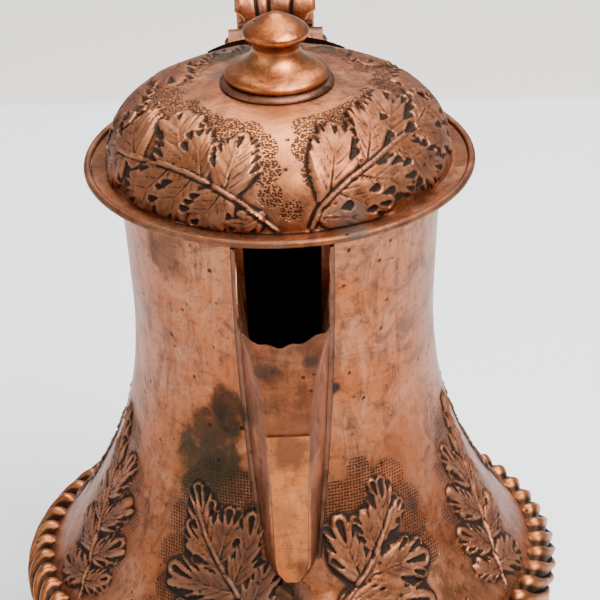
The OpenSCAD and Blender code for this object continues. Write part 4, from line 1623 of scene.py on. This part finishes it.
        # Painted highlight, with some rubbed wear, on raised relief.
        colour = self.mix(highlight_and_wear * 0.28, colour, look.pale)
        colour = self.mix(shade_and_grime * 0.96, colour, RECESS_SHADE_AND_GRIME)
        # Painted shade, with grime, in the punch marks.
        colour = self.mix(punched * 0.88, colour, PUNCHED)
        colour = self.mix(pit * 0.9, colour, PIT)
        tin = self.step(self.mask(Mask.TIN) + (self.noise(240, 4) - 0.5) * 0.7, 0.35, 0.7)
        colour = self.mix(tin * 0.80, colour, OLD_TIN)
        dull = dull + shade_and_grime * 0.4 + tin * 0.3
        scratch = self.noise(700, 3, 0.6, self.stretched((1, 1, 0.05)))
        uneven = (self.noise(70, 5) - 0.5) * 0.28 + (scratch - 0.5) * 0.12 + film * 0.10
        rough = dull * 0.35 + uneven + look.roughness
        normal = self.bump(self.cells(95, 0.9, feature="SMOOTH_F1"), 1.0, 0.5 * look.dents)
        normal = self.bump(self.noise(60, 5), 1.2, 0.7 * look.dents, normal)
        normal = self.bump(fine, 0.20, 0.6, normal)
        normal = self.bump(scratch, 0.10, 0.5, normal)
        normal = self.bump(0.0 - punched - pit, 0.45, 0.9, normal)
        shader = self.node("ShaderNodeBsdfPrincipled", None, {
            "Base Color": colour, "Metallic": 1 - self.step(dull, 0.3, 1.0) * 0.55 * look.metallic,
            "Roughness": rough, "Normal": normal, "Specular IOR Level": 0.2})
        self.node("ShaderNodeOutputMaterial", None, {"Surface": self.out(shader)})


STAINS_AND_PAINTED_LIGHT = (
    # The first two patches are painted highlights: the dome's bright front top and the lid's brighter left
    # side.
    ColourPatch((-4, -34, 272), 30, (0.560, 0.210, 0.075, 1), 0.60, 0.0),
    ColourPatch((-34, -24, 262), 22, (0.460, 0.170, 0.070, 1), 0.50, 0.0),
    ColourPatch((-20, -72, 102), 34, (0.050, 0.022, 0.012, 1), 0.82, 0.4),
    ColourPatch((-27, -49, 143), 17, (0.036, 0.025, 0.009, 1), 0.9),
    ColourPatch((-25, -46, 154), 14, (0.036, 0.020, 0.009, 1), 0.85),
    ColourPatch((-20, -47, 165), 10, (0.022, 0.012, 0.007, 1), 0.8),
    ColourPatch((-38, -36, 218), 12, (0.050, 0.024, 0.013, 1), 0.55),
    # These three darken the lower front of the dome.
    ColourPatch((-36, -46, 250), 22, (0.110, 0.044, 0.020, 1), 0.60, 0.3),
    ColourPatch((44, -40, 250), 20, (0.120, 0.048, 0.022, 1), 0.50, 0.3),
    ColourPatch((0, -56, 250), 12, (0.150, 0.052, 0.020, 1), 0.55, 0.1),
    ColourPatch((0, -67, 164), 11, (0.120, 0.045, 0.021, 1), 0.55, 0.3),
    # These two are painted shadow under the hinge leaf's front edge, with verdigris: dark green-black on the
    # dome behind the knob.
    ColourPatch((-15, 32, 260), 15, (0.034, 0.034, 0.024, 1), 0.85),
    ColourPatch((16, 36, 260), 11, (0.040, 0.036, 0.024, 1), 0.70),
    ColourPatch((-19, 8, 262), 7, (0.110, 0.075, 0.050, 1), 0.60, 0.3),
    ColourPatch((-14, -51, 124), 9, (0.045, 0.022, 0.012, 1), 0.6),
    ColourPatch((16, -49, 172), 2.6, (0.012, 0.014, 0.016, 1), 0.85),
    ColourPatch((43, -46, 124), 5, (0.022, 0.011, 0.008, 1), 0.85),
    ColourPatch((38, -40, 141), 13, (0.30, 0.085, 0.030, 1), 0.55),
    ColourPatch((-20, -72, 150), 18, (0.20, 0.060, 0.025, 1), 0.35),
    ColourPatch((-6, -73, 190), 6, (0.035, 0.016, 0.010, 1), 0.7),
    ColourPatch((8, -72, 196), 4, (0.022, 0.010, 0.007, 1), 0.7),
    ColourPatch((22, -56, 236), 9, (0.060, 0.055, 0.052, 1), 0.6),
)

STRIP_STAINS = (
    ColourPatch((0, -67, 160), 9, (0.110, 0.042, 0.020, 1), 0.75),
    ColourPatch((4, -71, 116), 5, (0.060, 0.022, 0.012, 1), 0.7),
    ColourPatch((-3, -69, 135), 6, (0.250, 0.080, 0.030, 1), 0.6, 0.1),
)

LOOKS = {
    "copper": MetalLook((0.325, 0.117, 0.053, 1), (0.315, 0.088, 0.027, 1), (0.490, 0.222, 0.125, 1),
                        (0.062, 0.022, 0.011, 1), grime=0.62, colour_patches=STAINS_AND_PAINTED_LIGHT),
    "bright_copper": MetalLook((0.370, 0.125, 0.040, 1), (0.360, 0.094, 0.024, 1), (0.530, 0.215, 0.085, 1),
                               (0.090, 0.030, 0.014, 1), roughness=0.34, grime=0.6, dents=0.4,
                               colour_patches=STRIP_STAINS),
    "dark_copper": MetalLook((0.150, 0.066, 0.040, 1), (0.170, 0.060, 0.030, 1), (0.210, 0.110, 0.075, 1),
                             (0.030, 0.018, 0.012, 1), roughness=0.45, grime=0.9),
    "tin": MetalLook((0.150, 0.142, 0.132, 1), (0.120, 0.100, 0.082, 1), (0.200, 0.195, 0.185, 1),
                     (0.040, 0.030, 0.022, 1), roughness=0.5, grime=0.8),
}


# ---------------------------------------------------------------- studio


@dataclass(frozen=True)
class Lamp:
    """A soft square light: where it stands and its side in metres, its power in watts and its colour."""

    name: str
    place: Point
    size: float
    power: float
    tint: Point = (1, 1, 1)


@dataclass(frozen=True)
class Studio:
    """Pale floor that turns greyer far behind, soft lights and the camera."""

    aim: Point = (0.0055, 0.0, 0.1793)
    distance: float = 1.0
    elevation: float = 28.0
    azimuth: float = -0.35
    roll: float = -1.6
    lens: float = 176.2
    floor_side: float = 12.0
    far_y: float = 0.566
    far_blend: float = 0.004
    floor_turn: float = -2.4
    near_tone: Colour = (0.74, 0.755, 0.785, 1)
    far_tone: Colour = (0.66, 0.635, 0.60, 1)
    sky: Colour = (0.80, 0.81, 0.83, 1)
    sky_strength: float = 0.75
    lamps: tuple[Lamp, ...] = (
        Lamp("key", (0.55, -0.55, 1.35), 0.9, 66.0, (1, 0.985, 0.96)),
        Lamp("fill", (-1.1, -0.6, 0.8), 1.0, 8.0, (0.96, 0.98, 1)),
        Lamp("back", (0.1, 0.65, 1.5), 1.0, 30.0),
    )

    def floor(self) -> None:
        """A wide floor, pale blue-white near and warm grey beyond a line behind the jug."""
        turn = (0, 0, math.radians(self.floor_turn))
        bpy.ops.mesh.primitive_plane_add(size=self.floor_side, location=(0, 0, 0), rotation=turn)
        obj = bpy.context.object
        obj.name = "floor"
        material = bpy.data.materials.new("floor")
        material.use_nodes = True
        nodes, links = material.node_tree.nodes, material.node_tree.links
        shader = nodes["Principled BSDF"]
        place = nodes.new("ShaderNodeTexCoord")
        split = nodes.new("ShaderNodeSeparateXYZ")
        edge = nodes.new("ShaderNodeMapRange")
        edge.inputs["From Min"].default_value = self.far_y - self.far_blend
        edge.inputs["From Max"].default_value = self.far_y + self.far_blend
        tones = nodes.new("ShaderNodeMix")
        tones.data_type = "RGBA"
        tones.inputs[6].default_value = self.near_tone
        tones.inputs[7].default_value = self.far_tone
        links.new(place.outputs["Object"], split.inputs[0])
        links.new(split.outputs["Y"], edge.inputs["Value"])
        links.new(edge.outputs[0], tones.inputs[0])
        links.new(tones.outputs[2], shader.inputs["Base Color"])
        shader.inputs["Roughness"].default_value = 0.9
        obj.data.materials.append(material)

    def light(self, lamp: Lamp) -> None:
        """Stands one lamp up, aimed at the jug.

        Args:
            lamp: the lamp.
        """
        data = bpy.data.lights.new(lamp.name, "AREA")
        data.size, data.energy, data.color = lamp.size, lamp.power, lamp.tint
        obj = bpy.data.objects.new(lamp.name, data)
        obj.location = lamp.place
        obj.rotation_euler = (Vector(self.aim) - Vector(lamp.place)).to_track_quat("-Z", "Y").to_euler()
        bpy.context.collection.objects.link(obj)

    def camera(self) -> None:
        """The camera, a little above and leaning slightly."""
        el, az = math.radians(self.elevation), math.radians(self.azimuth)
        aim = Vector(self.aim)
        way = Vector((math.sin(az) * math.cos(el), -math.cos(az) * math.cos(el), math.sin(el)))
        data = bpy.data.cameras.new("camera")
        data.lens, data.sensor_width = self.lens, 36.0
        obj = bpy.data.objects.new("camera", data)
        bpy.context.collection.objects.link(obj)
        turn = (-way).to_track_quat("-Z", "Y").to_matrix() @ Matrix.Rotation(math.radians(self.roll), 3, "Z")
        obj.matrix_world = Matrix.Translation(aim + way * self.distance) @ turn.to_4x4()
        bpy.context.scene.camera = obj

    def build(self) -> None:
        """Sets the whole stage."""
        world = bpy.data.worlds.new("studio")
        world.use_nodes = True
        world.node_tree.nodes["Background"].inputs[0].default_value = self.sky
        world.node_tree.nodes["Background"].inputs[1].default_value = self.sky_strength
        bpy.context.scene.world = world
        self.floor()
        for lamp in self.lamps:
            self.light(lamp)
        self.camera()


# ---------------------------------------------------------------- assembly


def dress(obj: bpy.types.Object, body: str, slot: str, finishes: dict[str, Finish], *nodes: str) -> None:
    """Gives a piece its finish and its body, and hides the nodes it stands for.

    Args:
        obj: the piece.
        body: the body it rides on.
        slot: name of its finish.
        finishes: all the finishes.
        *nodes: the nodes it replaces.
    """
    obj.data.materials.clear()
    obj.data.materials.append(finishes[slot].material)
    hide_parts(*nodes)
    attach(obj, body)
    LOG.info("%s: %d faces", obj.name, len(obj.data.polygons))


def main() -> None:
    """Builds every piece, the finishes and the stage."""
    logging.basicConfig(level=logging.INFO, format="%(name)s %(message)s")
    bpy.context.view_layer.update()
    finishes = {name: Finish(name, look) for name, look in LOOKS.items()}
    for part in frame["record"]["subparts"]:
        node = frame["nodes"][part["node"]]
        node.data.materials.clear()
        node.data.materials.append(finishes[part["material_slot"]].material)
    mouth_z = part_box("lid_dome")[0].z / MM
    neck = NeckCurve(mouth_z=mouth_z)
    vessel = Vessel(neck)
    dress(vessel.shoulder(), JUG, "copper", finishes, "neck_shell")
    dress(vessel.upper_neck(), JUG, "copper", finishes, "neck_shell")
    dress(vessel.band(), JUG, "bright_copper", finishes, "gadroon_band")
    dress(Spout(neck).trough(), JUG, "copper", finishes, "spout_shell")
    dress(Handle(neck).strap(), JUG, "copper", finishes, "handle_strap")
    lid = Lid(DomeCurve(base_z=mouth_z))
    dress(lid.sheet(), LID, "copper", finishes, "lid_dome")
    dress(lid.rim_wire(), LID, "copper", finishes, "lid_rim_wire")
    dress(lid.boss(), LID, "dark_copper", finishes, "knob_boss")
    dress(lid.knob(), LID, "bright_copper", finishes, "knob")
    dress(lid.hinge_leaf(), LID, "copper", finishes, "hinge_leaf")
    Studio().build()
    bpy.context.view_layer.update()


if __name__ == "__main__":
    main()
